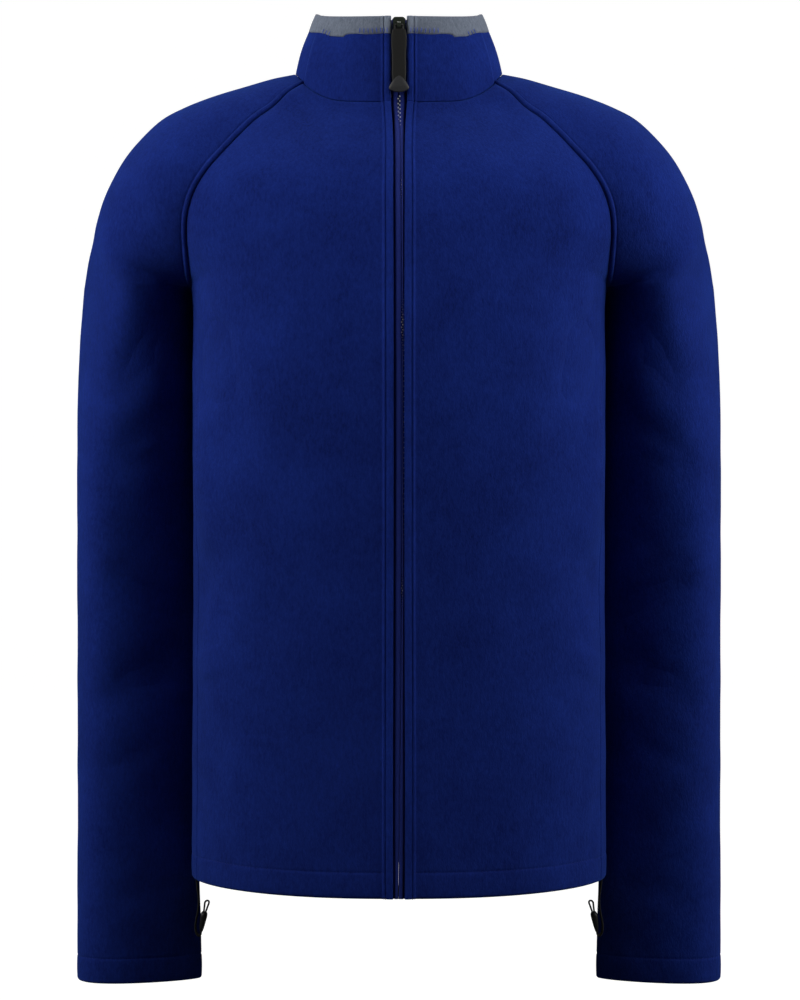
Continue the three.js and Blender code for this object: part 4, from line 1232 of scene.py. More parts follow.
@dataclass
class HemCord(Part):
    """The elastic cord at one side of the hem: two strands, a lock, and a loop above the lock.

    Points are x and z. The front strand runs from the hem to the lock, and ends go from foot to
    top. A row of lock_sizes is a share of the way up, thickness and width.
    """

    side: Side
    diameter: float = 1.5
    length: float = 0.16
    y: float = -9.0
    gap: float = 3.0
    strand: tuple[tuple[float, float], ...] = (
        (161.6, -632.2), (160.8, -640), (159.6, -650), (160.2, -659), (161.8, -667), (162.3, -673),
        (161.0, -678), (158.9, -679.2), (157.9, -676.6),
    )
    inside: tuple[float, float] = (156.6, -669.0)
    lock_ends: tuple[tuple[float, float], ...] = ((157.8, -676.0), (155.1, -660.4))
    loop_ends: tuple[tuple[float, float], ...] = ((155.0, -661.0), (152.7, -651.3))
    loop_half: float = 1.7
    loop_twist: float = math.radians(78)
    lock_sizes: tuple[Place, ...] = (
        (0, 2.4, 7), (0.25, 3.8, 9.6), (0.6, 5, 12), (0.9, 5.2, 12), (1, 4.2, 10.4),
    )
    grooves: float = 0.16

    def route(self) -> np.ndarray:
        """Points of the cord: down the front strand, up through the lock, round the loop and back.

        Returns:
            The points.
        """
        first = [(x, self.y - self.gap, z) for x, z in self.strand]
        first.append((self.inside[0], self.y - 2.4, self.inside[1]))
        second = [(x, 2 * self.y - y, z) for x, y, z in first][::-1]
        (foot_x, foot_z), (top_x, top_z) = self.loop_ends
        rise = top_z - foot_z
        bend = np.linspace(0.0, math.pi, 9)
        leg = np.array([0.0, 0.35, 0.7])
        spread_leg = mix(0.7, self.loop_half, leg)
        wide = np.concatenate([spread_leg, self.loop_half * np.cos(bend), -spread_leg[::-1]])
        up = np.concatenate([leg * (rise - self.loop_half), rise - self.loop_half * (1 - np.sin(bend)),
                             leg[::-1] * (rise - self.loop_half)])
        x = mix(foot_x, top_x, up / rise) - wide * math.sin(self.loop_twist)
        loop = np.stack([x, self.y - wide * math.cos(self.loop_twist), foot_z + up], axis=-1)
        return np.concatenate([first, loop, second]) * np.array([self.side.value, 1, 1])

    def curve(self, name: str) -> bpy.types.Object:
        """Make the cord as a smooth round curve of one open spline.

        Args:
            name: The piece's name.

        Returns:
            The curve object.
        """
        curve = bpy.data.curves.new(name, "CURVE")
        curve.dimensions = "3D"
        curve.bevel_depth = self.diameter / 2 * MM
        curve.bevel_resolution = 3
        curve.resolution_u = 4
        curve.use_fill_caps = True
        spline = curve.splines.new("BEZIER")
        route = self.route() * MM
        spline.bezier_points.add(len(route) - 1)
        spline.bezier_points.foreach_set("co", route.ravel())
        for point in spline.bezier_points:
            point.handle_left_type = point.handle_right_type = "AUTO"
        piece = bpy.data.objects.new(name, curve)
        bpy.context.scene.collection.objects.link(piece)
        return piece

    def lock(self) -> Mesh:
        """The lock: squared oval sections from its narrow foot to its broad, grooved top.

        Returns:
            Points and quads of the wearer's left lock.
        """
        shape = Table("t thick width", self.lock_sizes)
        t = np.concatenate([[0, 0.02, 0.05], np.linspace(0.1, 0.94, 22), [0.97, 0.99, 1.0]])
        ends = turned_edge(t * 16, 0.8, 0.5) + turned_edge((1 - t) * 16, 0.8, 0.5)
        grooves = self.grooves * smooth_step(np.sin(t * 52) * 2) * (t > 0.2) * (t < 0.62)
        (foot_x, foot_z), (top_x, top_z) = self.lock_ends
        lean = math.atan2(top_x - foot_x, top_z - foot_z)
        across, deep = squared_oval(24, 0.62)
        across = across * (shape(t, "thick") / 2 - ends - grooves)[:, None]
        deep = deep * (shape(t, "width") / 2 - ends)[:, None]
        x = mix(foot_x, top_x, t)[:, None] + across * math.cos(lean)
        z = mix(foot_z, top_z, t)[:, None] - across * math.sin(lean)
        return np.stack([x, self.y + deep, z], axis=-1).reshape(-1, 3), tube_faces(len(t), 24)

    def build(self) -> None:
        """Make the lock's mesh and the cord's curve."""
        self.add(f"Cord_lock.{self.side.word}", self.lock(), self.side.value)
        name = f"Hem_cord.{self.side.word}"
        self.pieces[name] = self.curve(name)

    def dress(self) -> None:
        word = self.side.word
        lock = self.clothe(f"Cord_lock.{word}", PLASTIC, "black_plastic")
        nodes = (f"hem_cord_front_{word}", f"hem_cord_back_{word}", f"cord_loop_{word}")
        piece = self.clothe(f"Hem_cord.{word}", CORD_FINISH, "elastic_cord", nodes)


def lower_rows() -> np.ndarray:
    """Return the heights of the body's rows from the hem to just below the armpit."""
    height = ARMPIT - HEM_FRONT
    return HEM_FRONT + height * spread(height, ROW_STEP, HEM.marks, (0.0,))[:-1]


def upper_rows() -> np.ndarray:
    """Return the shares of the raglan seam's length at which the rows above the armpit lie."""
    return spread(FRONT_RAGLAN.length, ROW_STEP, (0.0,), EDGE_MARKS)


@dataclass
class BodyPanel(HungPanel):
    """What the front and the back share: rows up to the armpit, and rows from there to the neck.

    neck is the neck seam's level at centre front or back, and degree the millimetres that one
    degree round the body stands for in the tables of folds. From settle_from up, the side seam
    draws to the armpit's corner.
    """

    raglan: Line = FRONT_RAGLAN
    neck: float = NECK_FRONT
    degree: float = 2.2
    settle_from: float = -200.0
    neck_blend: float = 0.55

    def folds(self, angle: np.ndarray, z: np.ndarray) -> np.ndarray:
        """Return the depth of the folds and creases at angles and heights."""
        return troughs(BODY_FOLDS + BODY_CREASES, np.degrees(angle), z, self.degree)

    def below(self, angle: np.ndarray, away: np.ndarray, z: np.ndarray, draw: np.ndarray) -> Mesh:
        """Points below the armpit: the body's form, drooping at the hem and drawn to the armpit.

        Args:
            angle: Angles round the body.
            away: Shares of the way to the side seam.
            z: Heights.
            draw: How far the pocket mouth draws the cloth round to the front, in radians.

        Returns:
            Points, and the height of the outer face over them.
        """
        points = FORM.point(angle - draw, z)
        points[..., 2] += FORM.droop(angle, z)
        corner = FORM.point(np.radians(SIDE_SEAM(ARMPIT, "angle")), np.array(ARMPIT))
        settle = smooth_step((z - self.settle_from) / (ARMPIT - self.settle_from)) * away**3
        points += (self.raglan(np.array(0.0)) - corner) * settle[..., None]
        return points, HEM.height(z - HEM_FRONT) - self.folds(angle, z)

    def above(self, angle: np.ndarray, away: np.ndarray, s: np.ndarray, seam: np.ndarray) -> Mesh:
        """Points above the armpit: the body's form, slid to the raglan seam and bent to the neck.

        Args:
            angle: Angles round the body.
            away: Shares of the way to the raglan seam.
            s: Shares of the way up.
            seam: The raglan seam's points.

        Returns:
            Points, and the height of the outer face over them.
        """
        z = mix(mix(ARMPIT, self.neck, s), seam[:, 2:3], away)
        points = FORM.point(angle, z)
        slip = (seam[:, None] - points[:, -1:]) * (away**3)[..., None]
        bend = smooth_step((s - 1 + self.neck_blend) / self.neck_blend) * (1 - away**3)
        points = points + (self.neck_seam(points[-1]) - points[-1]) * bend[..., None] + slip
        return points, -self.folds(angle, z)

    def neck_seam(self, last: np.ndarray) -> np.ndarray:
        """Return the neck seam's points, which each kind of body panel finds in its own way."""
        raise NotImplementedError

    def sewn(self, low: Mesh, high: Mesh) -> tuple[np.ndarray, np.ndarray, np.ndarray]:
        """Join the lower and upper rows.

        Args:
            low: Points and heights of the outer face below the armpit.
            high: The same above it.

        Returns:
            All points, the cloth's thickness and the outer face's height.
        """
        points = np.concatenate([low[0], high[0]])
        above = np.concatenate([lower_rows() - HEM_FRONT, np.full(len(high[0]), ARMPIT - HEM_FRONT)])
        raised = np.concatenate([low[1], high[1]]) + lumps(points)
        return points, HEM.wall(above)[:, None] + np.zeros(raised.shape), raised


@dataclass
class FrontPanel(BodyPanel):
    """A front panel, from its stitched front edge to the side seam.

    width sets the number of columns, and the pocket mouth draws those beyond mouth_from.
    """

    width: float = 190.0
    mouth_from: float = 0.74

    @property
    def shares(self) -> np.ndarray:
        """Return the even columns' shares of the way from the band's foot to the side seam."""
        return spread(self.width, COLUMN_STEP, (0.0, 1.4), EDGE_MARKS)[1:]

    def angles(self, edge: np.ndarray, z: np.ndarray, side: np.ndarray) -> np.ndarray:
        """Angles of every column.

        Args:
            edge: The front edge's distance from the mid plane, for each row.
            z: The rows' heights.
            side: The side seam's angle, for each row.

        Returns:
            Rows x columns.
        """
        band = FORM.angle_of_width(edge + np.array(BAND.marks), z)
        start = band[:, -1:]
        return np.concatenate([band, start + (side - start) * self.shares], axis=1)

    def cut_cloth(self) -> Cloth:
        """Lay the panel's points on the body's form, and raise its band, folds and swells.

        Returns:
            The wearer's left panel.
        """
        across = np.concatenate([np.zeros(len(BAND.marks)), self.shares])
        z = lower_rows()[:, None]
        angle = self.angles(FRONT_EDGE(z, "half"), z, np.radians(SIDE_SEAM(z, "angle")))
        gape = MOUTH.open(z) * smooth_step((across - self.mouth_from) / (1 - self.mouth_from))
        points, raised = self.below(angle, across, z, gape * MOUTH.draw)
        low = points, raised + MOUTH.swell * gape
        s = upper_rows()[:, None]
        seam = self.raglan(s[:, 0])
        centre = mix(ARMPIT, self.neck, s)
        end = FORM.angle_of_depth(seam[:, 1:2], seam[:, 2:3])
        angle = self.angles(FRONT_EDGE(centre, "half"), centre, end)
        away = (angle - angle[:, :1]) / (angle[:, -1:] - angle[:, :1])
        points, wall, raised = self.sewn(low, self.above(angle, away, s, seam))
        flat = smooth_step(np.arange(len(across)) / len(BAND.marks))
        band = np.concatenate([BAND.height(), np.zeros(len(self.shares))])
        cloth = Cloth(points, wall, raised * flat + band)
        self.turn_seam(cloth, MOUTH.open(z))
        return cloth.turn_in(Edge.TOP, 1.2, 0.9)

    def turn_seam(self, cloth: Cloth, gape: np.ndarray) -> None:
        """Turn the side edge into its seam, and roll it softly along the pocket mouth.

        Args:
            cloth: The panel's cloth.
            gape: How open the pocket mouth is at each lower row.
        """
        away = cloth.edge_distance(Edge.END)
        rolled = np.zeros(cloth.raised.shape)
        rolled[:len(gape)] = smooth_step(gape * 3)
        cloth.raised -= turned_edge(away, 1.8, 1.6) * (1 - rolled)
        cloth.raised -= (turned_edge(away, 2.6, 2.2) + 0.7 * bump(away, 6.5, 0.8)) * rolled

    def neck_seam(self, last: np.ndarray) -> np.ndarray:
        """Points of the neck seam, one for each column of the panel's last row.

        Args:
            last: The last row before it bends to the neck.

        Returns:
            The seam's points.
        """
        edge = float(FRONT_EDGE(np.array(self.neck), "half"))
        across = np.clip((last[:, 0] - edge) / (self.raglan(np.array(1.0))[0] - edge), 0, 1)
        return NECK_FRONT_LINE(mix(edge / NECK_FRONT_LINE.length, 1.0, across * (0.72 + 0.28 * across)))


@dataclass
class BackPanel(BodyPanel):
    """The back panel, columns from the wearer's left side seam round to the right one."""

    raglan: Line = BACK_RAGLAN
    neck: float = 5.6
    half: float = 235.0

    @property
    def sides(self) -> np.ndarray:
        """Return the columns as shares from the left side seam, 1, to the right one, -1."""
        half = spread(self.half, COLUMN_STEP, (0.0,), EDGE_MARKS)
        return np.concatenate([half[::-1], -half[1:]])

    def cut_cloth(self) -> Cloth:
        """Lay the panel's points on the body's form, and raise its folds and swells.

        Returns:
            The panel.
        """
        away = np.abs(self.sides)[None]
        mirror = np.where(self.sides < 0, -1.0, 1.0)
        z = lower_rows()[:, None]
        angle = mix(math.pi, np.radians(SIDE_SEAM(z, "angle")), away)
        low = self.below(angle, away, z, np.zeros(angle.shape))
        s = upper_rows()[:, None]
        seam = self.raglan(s[:, 0])
        angle = mix(math.pi, FORM.angle_of_depth(seam[:, 1:2], seam[:, 2:3]), away)
        points, wall, raised = self.sewn(low, self.above(angle, away, s, seam))
        points[..., 0] *= mirror
        cloth = Cloth(points, wall, raised)
        return cloth.turn_in(Edge.START, 1.8, 1.6).turn_in(Edge.END, 1.8, 1.6).turn_in(Edge.TOP, 1.2, 0.9)

    def neck_seam(self, last: np.ndarray) -> np.ndarray:
        """Return the neck seam's points, one for each column of the panel's last row."""
        return NECK_BACK_LINE(1 - np.abs(self.sides))


@dataclass
class SleevePanel(HungPanel):
    """A raglan sleeve, columns from the front seam round the outside to the back seam.

    round_arm is a curve's arm for a round section against its half depth, and square the
    front's squareness near the armpit. The front narrows below the first level of narrow,
    over the height of the second, and turns to the raglan seam from face_from up. turn is the
    way round the sleeve in the tables of folds.
    """

    half_round: float = 150.0
    round_arm: float = 4 / 3
    square: float = 22.0
    narrow: tuple[float, float] = (-215.0, 130.0)
    face_from: float = -290.0
    turn: float = 280.0

    def level_rings(self, z: np.ndarray) -> tuple[np.ndarray, ...]:
        """Ends and arms of the level sections below the armpit.

        Args:
            z: Heights.

        Returns:
            Front end, back end, outermost point, their four arms and the share of the seam roll.
        """
        none = np.zeros(len(z))
        arm = self.round_arm * SLEEVE(z, "depth")
        inner = np.stack([SLEEVE(z, "inner"), SLEEVE(z, "inner_y"), z], axis=-1)
        outer = np.stack([SLEEVE(z, "outer"), SLEEVE(z, "outer_y"), z], axis=-1)
        back_arm = np.stack([none, arm, none], axis=-1)
        low = smooth_step((self.narrow[0] - z) / self.narrow[1])
        facing = smooth_step((z - self.face_from) / (ARMPIT - self.face_from))
        forward = arm * mix(mix(0.9, 0.5, low), 0.8, facing)
        front_arm = np.stack([mix(12 * low, 28, facing), -forward, none], axis=-1)
        round_out = arm * mix(mix(1.02, 1.34, low), 1.065, facing)
        front_turn = np.stack([-self.square * facing, -round_out, none], axis=-1)
        return inner, inner, outer, front_arm, back_arm, front_turn, back_arm, none

    def cap_rings(self, s: np.ndarray) -> tuple[np.ndarray, ...]:
        """Ends and arms of the sections above the armpit, between the two raglan seams.

        Args:
            s: Shares of the way up the seams.

        Returns:
            The same values as for the level sections.
        """
        flat = np.zeros(len(s))
        welted = smooth_step(s / 0.2)
        front_arm = np.stack([CAP(s, name) for name in ("fx", "fy", "fz")], axis=-1)
        back_arm = np.stack([CAP(s, name) for name in ("bx", "by", "bz")], axis=-1)
        front_turn = np.stack([-self.square * (1 - welted), -CAP(s, "fturn"), flat], axis=-1)
        back_turn = np.stack([flat, CAP(s, "bturn"), flat], axis=-1)
        return (FRONT_RAGLAN(s), BACK_RAGLAN(s), SHOULDER(s), front_arm, back_arm, front_turn, back_turn,
                welted)

    def half(self, end: np.ndarray, arm: np.ndarray, turn: np.ndarray, outer: np.ndarray) -> Mesh:
        """Half of every section: a cubic curve from its end to its outermost point.

        Args:
            end: Where the curves start.
            arm: Their directions and speeds there.
            turn: The same at the outermost points, backwards.
            outer: The outermost points.

        Returns:
            The curves' own places t, rows x columns, and their points.
        """
        speed = 3 * np.linalg.norm(arm, axis=1)[:, None]
        start = np.array(ROLL.marks) / speed
        even = spread(self.half_round, COLUMN_STEP, (0.0,), (0.0,))[1:]
        t = np.concatenate([start, mix(start[:, -1:], 1.0, even)], axis=1)[..., None]
        u = 1 - t
        points = (u**3 * end[:, None] + 3 * u * u * t * (end + arm)[:, None]
                  + 3 * u * t * t * (outer + turn)[:, None] + t**3 * outer[:, None])
        return t[..., 0], points

    def cut_cloth(self) -> Cloth:
        """Join both halves of every section, and raise folds, swells and the seam rolls.

        Returns:
            The wearer's left sleeve.
        """
        below = ARMPIT - CUFF
        low_z = CUFF + below * spread(below, ROW_STEP, HEM.marks, (0.0,))[:-1]
        s = upper_rows()
        rings = [np.concatenate(pair) for pair in zip(self.level_rings(low_z), self.cap_rings(s))]
        front, back, outer, front_arm, back_arm, front_turn, back_turn, welted = rings
        t_front, half_front = self.half(front, front_arm, front_turn, outer)
        t_back, half_back = self.half(back, back_arm, back_turn, outer)
        points = np.concatenate([half_front, half_back[:, -2::-1]], axis=1)
        around = np.concatenate([t_front / 2, 1 - t_back[:, -2::-1] / 2], axis=1)
        z, welted = outer[:, 2:3], welted[:, None]
        above = np.where(z < ARMPIT, z - CUFF, 999.0)
        raised = HEM.height(above) - troughs(SLEEVE_FOLDS + SLEEVE_CREASES, around, z, self.turn)
        cloth = Cloth(points, HEM.wall(above) + np.zeros(raised.shape), raised + lumps(points))
        for edge in (Edge.START, Edge.END):
            away = cloth.edge_distance(edge)
            cloth.raised = cloth.raised * mix(1.0, smooth_step(away / 9), welted)
            cloth.raised += welted * ROLL.height(away, points) - (1 - welted) * turned_edge(away, 1.8, 1.6)
        return cloth.turn_in(Edge.TOP, 1.2, 0.9)


@dataclass
class StandCollar(Part):
    """The stand collar: blue cloth outside, and a grey facing turned over its top edge.

    band is the height of the grey that shows outside. Pairs of depths are in front and behind,
    and the top's levels are at centre front, side and centre back. Between the two distances
    of upright, the straight front edge passes to the top's oval. The facing's cut is in metres.
    """

    front: Cloth
    sleeve: Cloth
    back: Cloth
    cloth: Cloth = field(init=False)
    thickness: float = 2.2
    facing: float = 1.6
    band: float = 14.8
    top_half: float = 66.5
    top_depths: tuple[float, float] = (61.0, 57.0)
    top_levels: Place = (46.6, 57.0, 60.0)
    squareness: float = 2.15
    neck_depths: tuple[float, float] = (70.0, 73.0)
    swell: float = 1.2
    upright: tuple[float, float] = (14.0, 26.0)
    facing_width: float = 0.075
    facing_area: float = 0.0295

    def __post_init__(self) -> None:
        """Take the neck seam's points right round the neck, and lay out band and grey edge."""
        left = np.concatenate([self.front.points[-1, :-1], self.sleeve.points[-1, :-1]])
        right = left[::-1] * np.array([-1, 1, 1])
        self.base = np.concatenate([left, self.back.points[-1], right])
        self.height = np.linalg.norm(self.top(self.base) - self.base, axis=1)
        marks = BAND.height()
        self.raise_band = np.zeros(len(self.base))
        self.raise_band[: len(marks)] = marks
        self.raise_band[-len(marks):] = marks[::-1]
        x, y = np.abs(self.base[:, 0]), self.base[:, 1]
        dip = smooth_step((x - 42.5) / 3.5) * (1 - smooth_step((x - 56) / 12)) * (y < 0)
        self.grey = self.band + 2.3 * dip + 0.25 * np.sin(x / 3.1)
        self.cloth = self.cut_cloth()

    def off_edge(self, base: np.ndarray) -> np.ndarray:
        """Return how far points of the neck seam are past the straight front edge, 0 to 1."""
        near, far = self.upright
        return smooth_step((np.abs(base[:, 0]) - near) / (far - near))

    def top(self, base: np.ndarray) -> np.ndarray:
        """Where the top edge lies over points of the neck seam: a squared oval.

        Args:
            base: Neck seam points, columns x 3.

        Returns:
            The top edge's points.
        """
        depth = np.where(base[:, 1] < 0, *self.neck_depths)
        angle = np.arctan2(np.abs(base[:, 0]) / self.top_half, -base[:, 1] / depth)
        power = 2 / self.squareness
        is_front = angle <= math.pi / 2
        facing = np.abs(np.cos(angle))
        x = self.top_half * np.sin(angle) ** power * np.sign(base[:, 0])
        y = np.where(is_front, -self.top_depths[0], self.top_depths[1]) * facing**power
        low, side, high = self.top_levels
        z = np.where(is_front, mix(side, low, 1 - (1 - facing) ** 1.3), mix(side, high, facing**2))
        x = np.where(is_front, mix(base[:, 0], x, self.off_edge(base)), x)
        return np.stack([x, y, z], axis=-1)

    def point(self, base: np.ndarray, share: np.ndarray) -> np.ndarray:
        """Points of the outer face, at shares of the way from the neck seam to the top.

        Args:
            base: Neck seam points, columns x 3.
            share: Rows x columns.

        Returns:
            Rows x columns x 3.
        """
        points = mix(base[None], self.top(base)[None], share[..., None])
        out = base[:, :2] / np.linalg.norm(base[:, :2], axis=1, keepdims=True)
        off_edge = np.where(base[:, 1] < 0, self.off_edge(base), 1.0)
        swell = self.swell * np.sin(np.pi * share)
        points[..., 0] += out[:, 0] * swell * off_edge
        points[..., 1] += out[:, 1] * swell
        return points

    def cut_cloth(self) -> Cloth:
        """Lay out the blue outer collar, rows from its seam allowance to the grey band.

        Returns:
            The outer collar.
        """
        rows = spread(60.0, 2.6, SEAM_MARKS, (0.0, 0.4, 1.0, 2.0, 3.5))
        rows = np.concatenate([[-0.06, -0.03], rows])[:, None]
        share = rows * (1 - self.grey / self.height)
        points = self.point(self.base, share)
        raised = self.raise_band + lumps(points) * 0.8 + 0.5 * np.sin(np.pi * np.clip(rows * 1.05, 0, 1))
        raised = np.where(rows < 0, -3.0, raised - turned_edge(rows * 60, 1.2, 0.9))
        return Cloth(points, np.full(share.shape, self.thickness), raised).turn_in(Edge.TOP, 1.0, 0.5)

    def facing_mesh(self) -> Mesh:
        """The grey facing: a section run round the neck, open at the front edges.

        The section goes up the outside of the band, over the top in a squared half round, down
        the inside to the neck and back up behind the blue cloth.

        Returns:
            Points and quads.
        """
        outward = self.cloth.outward[len(self.cloth.outward) // 2]
        layer = self.thickness + SEAM_GAP
        total = layer + self.facing
        turn = np.linspace(0.0, math.pi, 13)
        over = np.abs(np.cos(turn)) ** 0.6 * np.sign(np.cos(turn))
        foot = 0.94 * self.height
        up = mix(self.grey - 0.2, 1.4, np.linspace(0, 1, 10)[:-1, None])
        top = 1.4 * (1 - np.sin(turn) ** 0.6)[:, None] + np.zeros(len(foot))
        under = mix(1.4, foot, np.linspace(0.04, 1.0, 12)[:, None])
        behind = mix(foot, self.grey, np.linspace(0.0, 1.0, 9)[:, None])
        down = np.concatenate([up, top, under, behind])
        out = np.concatenate([np.zeros(9), total / 2 * (over - 1), np.full(12, -total), np.full(9, -layer)])
        seen = len(up) + len(top)
        points = self.point(self.base, 1 - down / self.height)
        raised = np.zeros(down.shape)
        roll = 0.3 * np.sin(np.pi * np.clip(down[:seen] / self.grey, 0, 1))
        raised[:seen] = (self.raise_band + roll) * smooth_step(1 + out[:seen, None] / 1.2)
        raised[:seen] += lumps(points[:seen]) * 0.6
        points = points + outward[None] * (out[:, None] + raised)[..., None]
        loops = np.swapaxes(points, 0, 1)
        return loops.reshape(-1, 3), tube_faces(loops.shape[0], loops.shape[1])[:, ::-1]

    def band_edge(self, low: float, high: float) -> tuple[np.ndarray, np.ndarray]:
        """The line along the grey band's foot, on the wearer's left in front.

        Args:
            low: The line's nearest distance from the mid plane.
            high: Its farthest.

        Returns:
            The line's points on the outer face, and the outward directions there.
        """
        half = self.base[: len(self.base) // 2]
        x = np.abs(half[:, 0])
        keep = np.flatnonzero((x > low) & (x < high) & (half[:, 1] < 0))
        outward = self.cloth.outward[-1, keep]
        return self.cloth.points[-1, keep] + outward * (self.raise_band[keep, None] + 0.5), outward

    def build(self) -> None:
        """Make the meshes of the collar and its facing."""
        self.add("Collar", self.cloth.shell())
        self.add("Collar_facing", self.facing_mesh())

    def dress(self) -> None:
        """Finish both as cloth in their nodes' places."""
        piece = self.clothe("Collar", FLEECE, "fleece")
        self.cloth.cut()
        self.cloth.area()
        piece = self.clothe("Collar_facing", GREY, "grey_fleece")
        flat = (self.cloth.cut()[0], self.facing_width)


@dataclass
class ZipHalf:
    """One half of the zip: its tape behind the front edge, with a rolled lip beside the slit.

    The tape ends at a share, top, of the collar's height, and lies collar_depth deep above dives.
    The zip parts from the first value of parted_from, over the height of the second. A glint is a
    level, half height and width of a place where the lips stand back from the teeth.
    """

    front: Cloth
    collar: StandCollar
    side: Side
    width: float = 15.0
    thickness: float = 0.9
    top: float = 0.985
    collar_depth: float = 5.0
    dives: float = -45.0
    lip: float = 0.8
    parted: float = 2.4
    parted_from: tuple[float, float] = (-48.0, 24.0)
    pitch: float = 3.9
    teeth_ends: tuple[float, float] = (HEM_FRONT + 12, -16.5)
    glints: tuple[Place, ...] = (
        (-20.5, 6.0, 0.9), (-92.0, 12.0, 0.3), (-199.0, 15.0, 0.55), (-400.0, 9.0, 0.5),
    )

    def __post_init__(self) -> None:
        """Take the front edge's points and directions from the panel and from the collar."""
        foot_column = len(BAND.marks) - 1
        rows = slice(0, None, 2)
        edge, foot = self.front.points[rows, 0], self.front.points[rows, foot_column]
        share = np.linspace(0.04, self.top, 18)[:, None]
        pair = self.collar.base[[0, foot_column]]
        above = self.collar.point(pair, np.broadcast_to(share, (18, 2)))
        above_out = np.cross(above[:, 1] - above[:, 0], np.gradient(above[:, 0], axis=0))
        above_out /= np.linalg.norm(above_out, axis=1, keepdims=True)
        self.edge = np.concatenate([edge, above[:, 0]])
        self.foot = np.concatenate([foot, above[:, 1]])
        self.out = np.concatenate([self.front.outward[rows, 3], above_out]) * np.array([0, 1, 1])
        self.out /= np.linalg.norm(self.out, axis=1, keepdims=True)
        deep = np.where(edge[:, 2] > self.dives, self.collar_depth, self.front.wall[rows, 3])
        self.deep = np.concatenate([deep, np.full(len(above), self.collar_depth)]) + SEAM_GAP

    def opening(self, z: np.ndarray) -> np.ndarray:
        """Return how far the lip stands back from the slit, where a little of the teeth shows."""
        return sum(wide * bump(z, at, long) for at, long, wide in self.glints)

    def parting(self, z: np.ndarray) -> np.ndarray:
        """Return how far the zip is parted at a height, 0 to 1."""
        start, height = self.parted_from
        return smooth_step((z - start) / height)

    def section(self) -> tuple[np.ndarray, np.ndarray]:
        """Place across (from the mid plane) and depth of the tape's face, for every row.

        Returns:
            Two arrays, rows x columns, from the hidden edge to the slit.
        """
        z = self.edge[:, 2:3]
        half = self.edge[:, :1] - 0.5
        slit = self.side.value * FRONT_EDGE(z, "slit") + 0.03 + self.opening(z)
        t = np.linspace(0, 1, 11)[None]
        round_over = 1.7 * (1 - np.sqrt(np.clip(1 - (1.9 * (t - 0.52)) ** 2, 0, 1)))
        near = self.deep[:, None] * (1 - smooth_step(t / 0.28)) * 0.9
        depth = mix(self.lip, self.parted, self.parting(z)) + round_over + np.clip(near - 0.4, 0, None)
        across = [half * 0 + self.width, half + 4.0, half + 1.2, half + (slit - half) * t]
        hidden = np.repeat(self.deep[:, None], 3, axis=1)
        return np.concatenate(across, axis=1), np.concatenate([hidden, depth], axis=1)

    def tape(self) -> Mesh:
        """The tape's closed mesh: a section of face and back, run up the front.

        Returns:
            Points and quads.
        """
        across, depth = self.section()
        back = np.maximum(depth, CLOTH) + self.thickness
        across = np.concatenate([across, across[:, ::-1]], axis=1)
        depth = np.concatenate([depth, back[:, ::-1]], axis=1)
        along = self.foot - self.edge
        along /= np.linalg.norm(along, axis=1, keepdims=True)
        beyond = np.clip(across - self.edge[:, :1], 0, None)
        points = (self.edge[:, None] + along[:, None] * beyond[..., None]
                  - self.out[:, None] * depth[..., None])
        points[..., 0] = np.where(across < self.edge[:, :1], across, points[..., 0]) * self.side.value
        faces = tube_faces(points.shape[0], points.shape[1])
        return points.reshape(-1, 3), faces[:, ::self.side.value]

    def teeth(self) -> Mesh:
        """The coil's teeth: a short rounded bar at every pitch, just behind the slit.

        Returns:
            Points and quads of all the teeth.
        """
        z = self.edge[:, 2]
        closed = self.lip + 2.7 - 1.5 * np.clip(self.opening(z) / 0.5, 0, 1)
        depth = mix(closed, self.parted - 0.4, self.parting(z))
        line = self.edge - self.out * depth[:, None]
        line[:, 0] = FRONT_EDGE(z, "slit") + self.side.value * 0.62
        low, high = self.teeth_ends
        keep = (z > low) & (z < high)
        even = resample(np.concatenate([line[keep], self.out[keep]], axis=1), self.pitch)
        shift = self.pitch / 2 if self.side is Side.LEFT else 0.0
        centre = even[:, :3] + np.array([0, 0, shift])
        axes = np.array([[-self.side.value, 0, 0], [0, 0, 1.0]])
        across, up = np.broadcast_arrays(axes[:, None], centre)[0]
        points, faces = Bar((-0.55, 0.0, 0.55), (0.4, 0.66, 0.4)).repeated(centre, (across, up, even[:, 3:]))
        return points, faces[:, ::self.side.value]


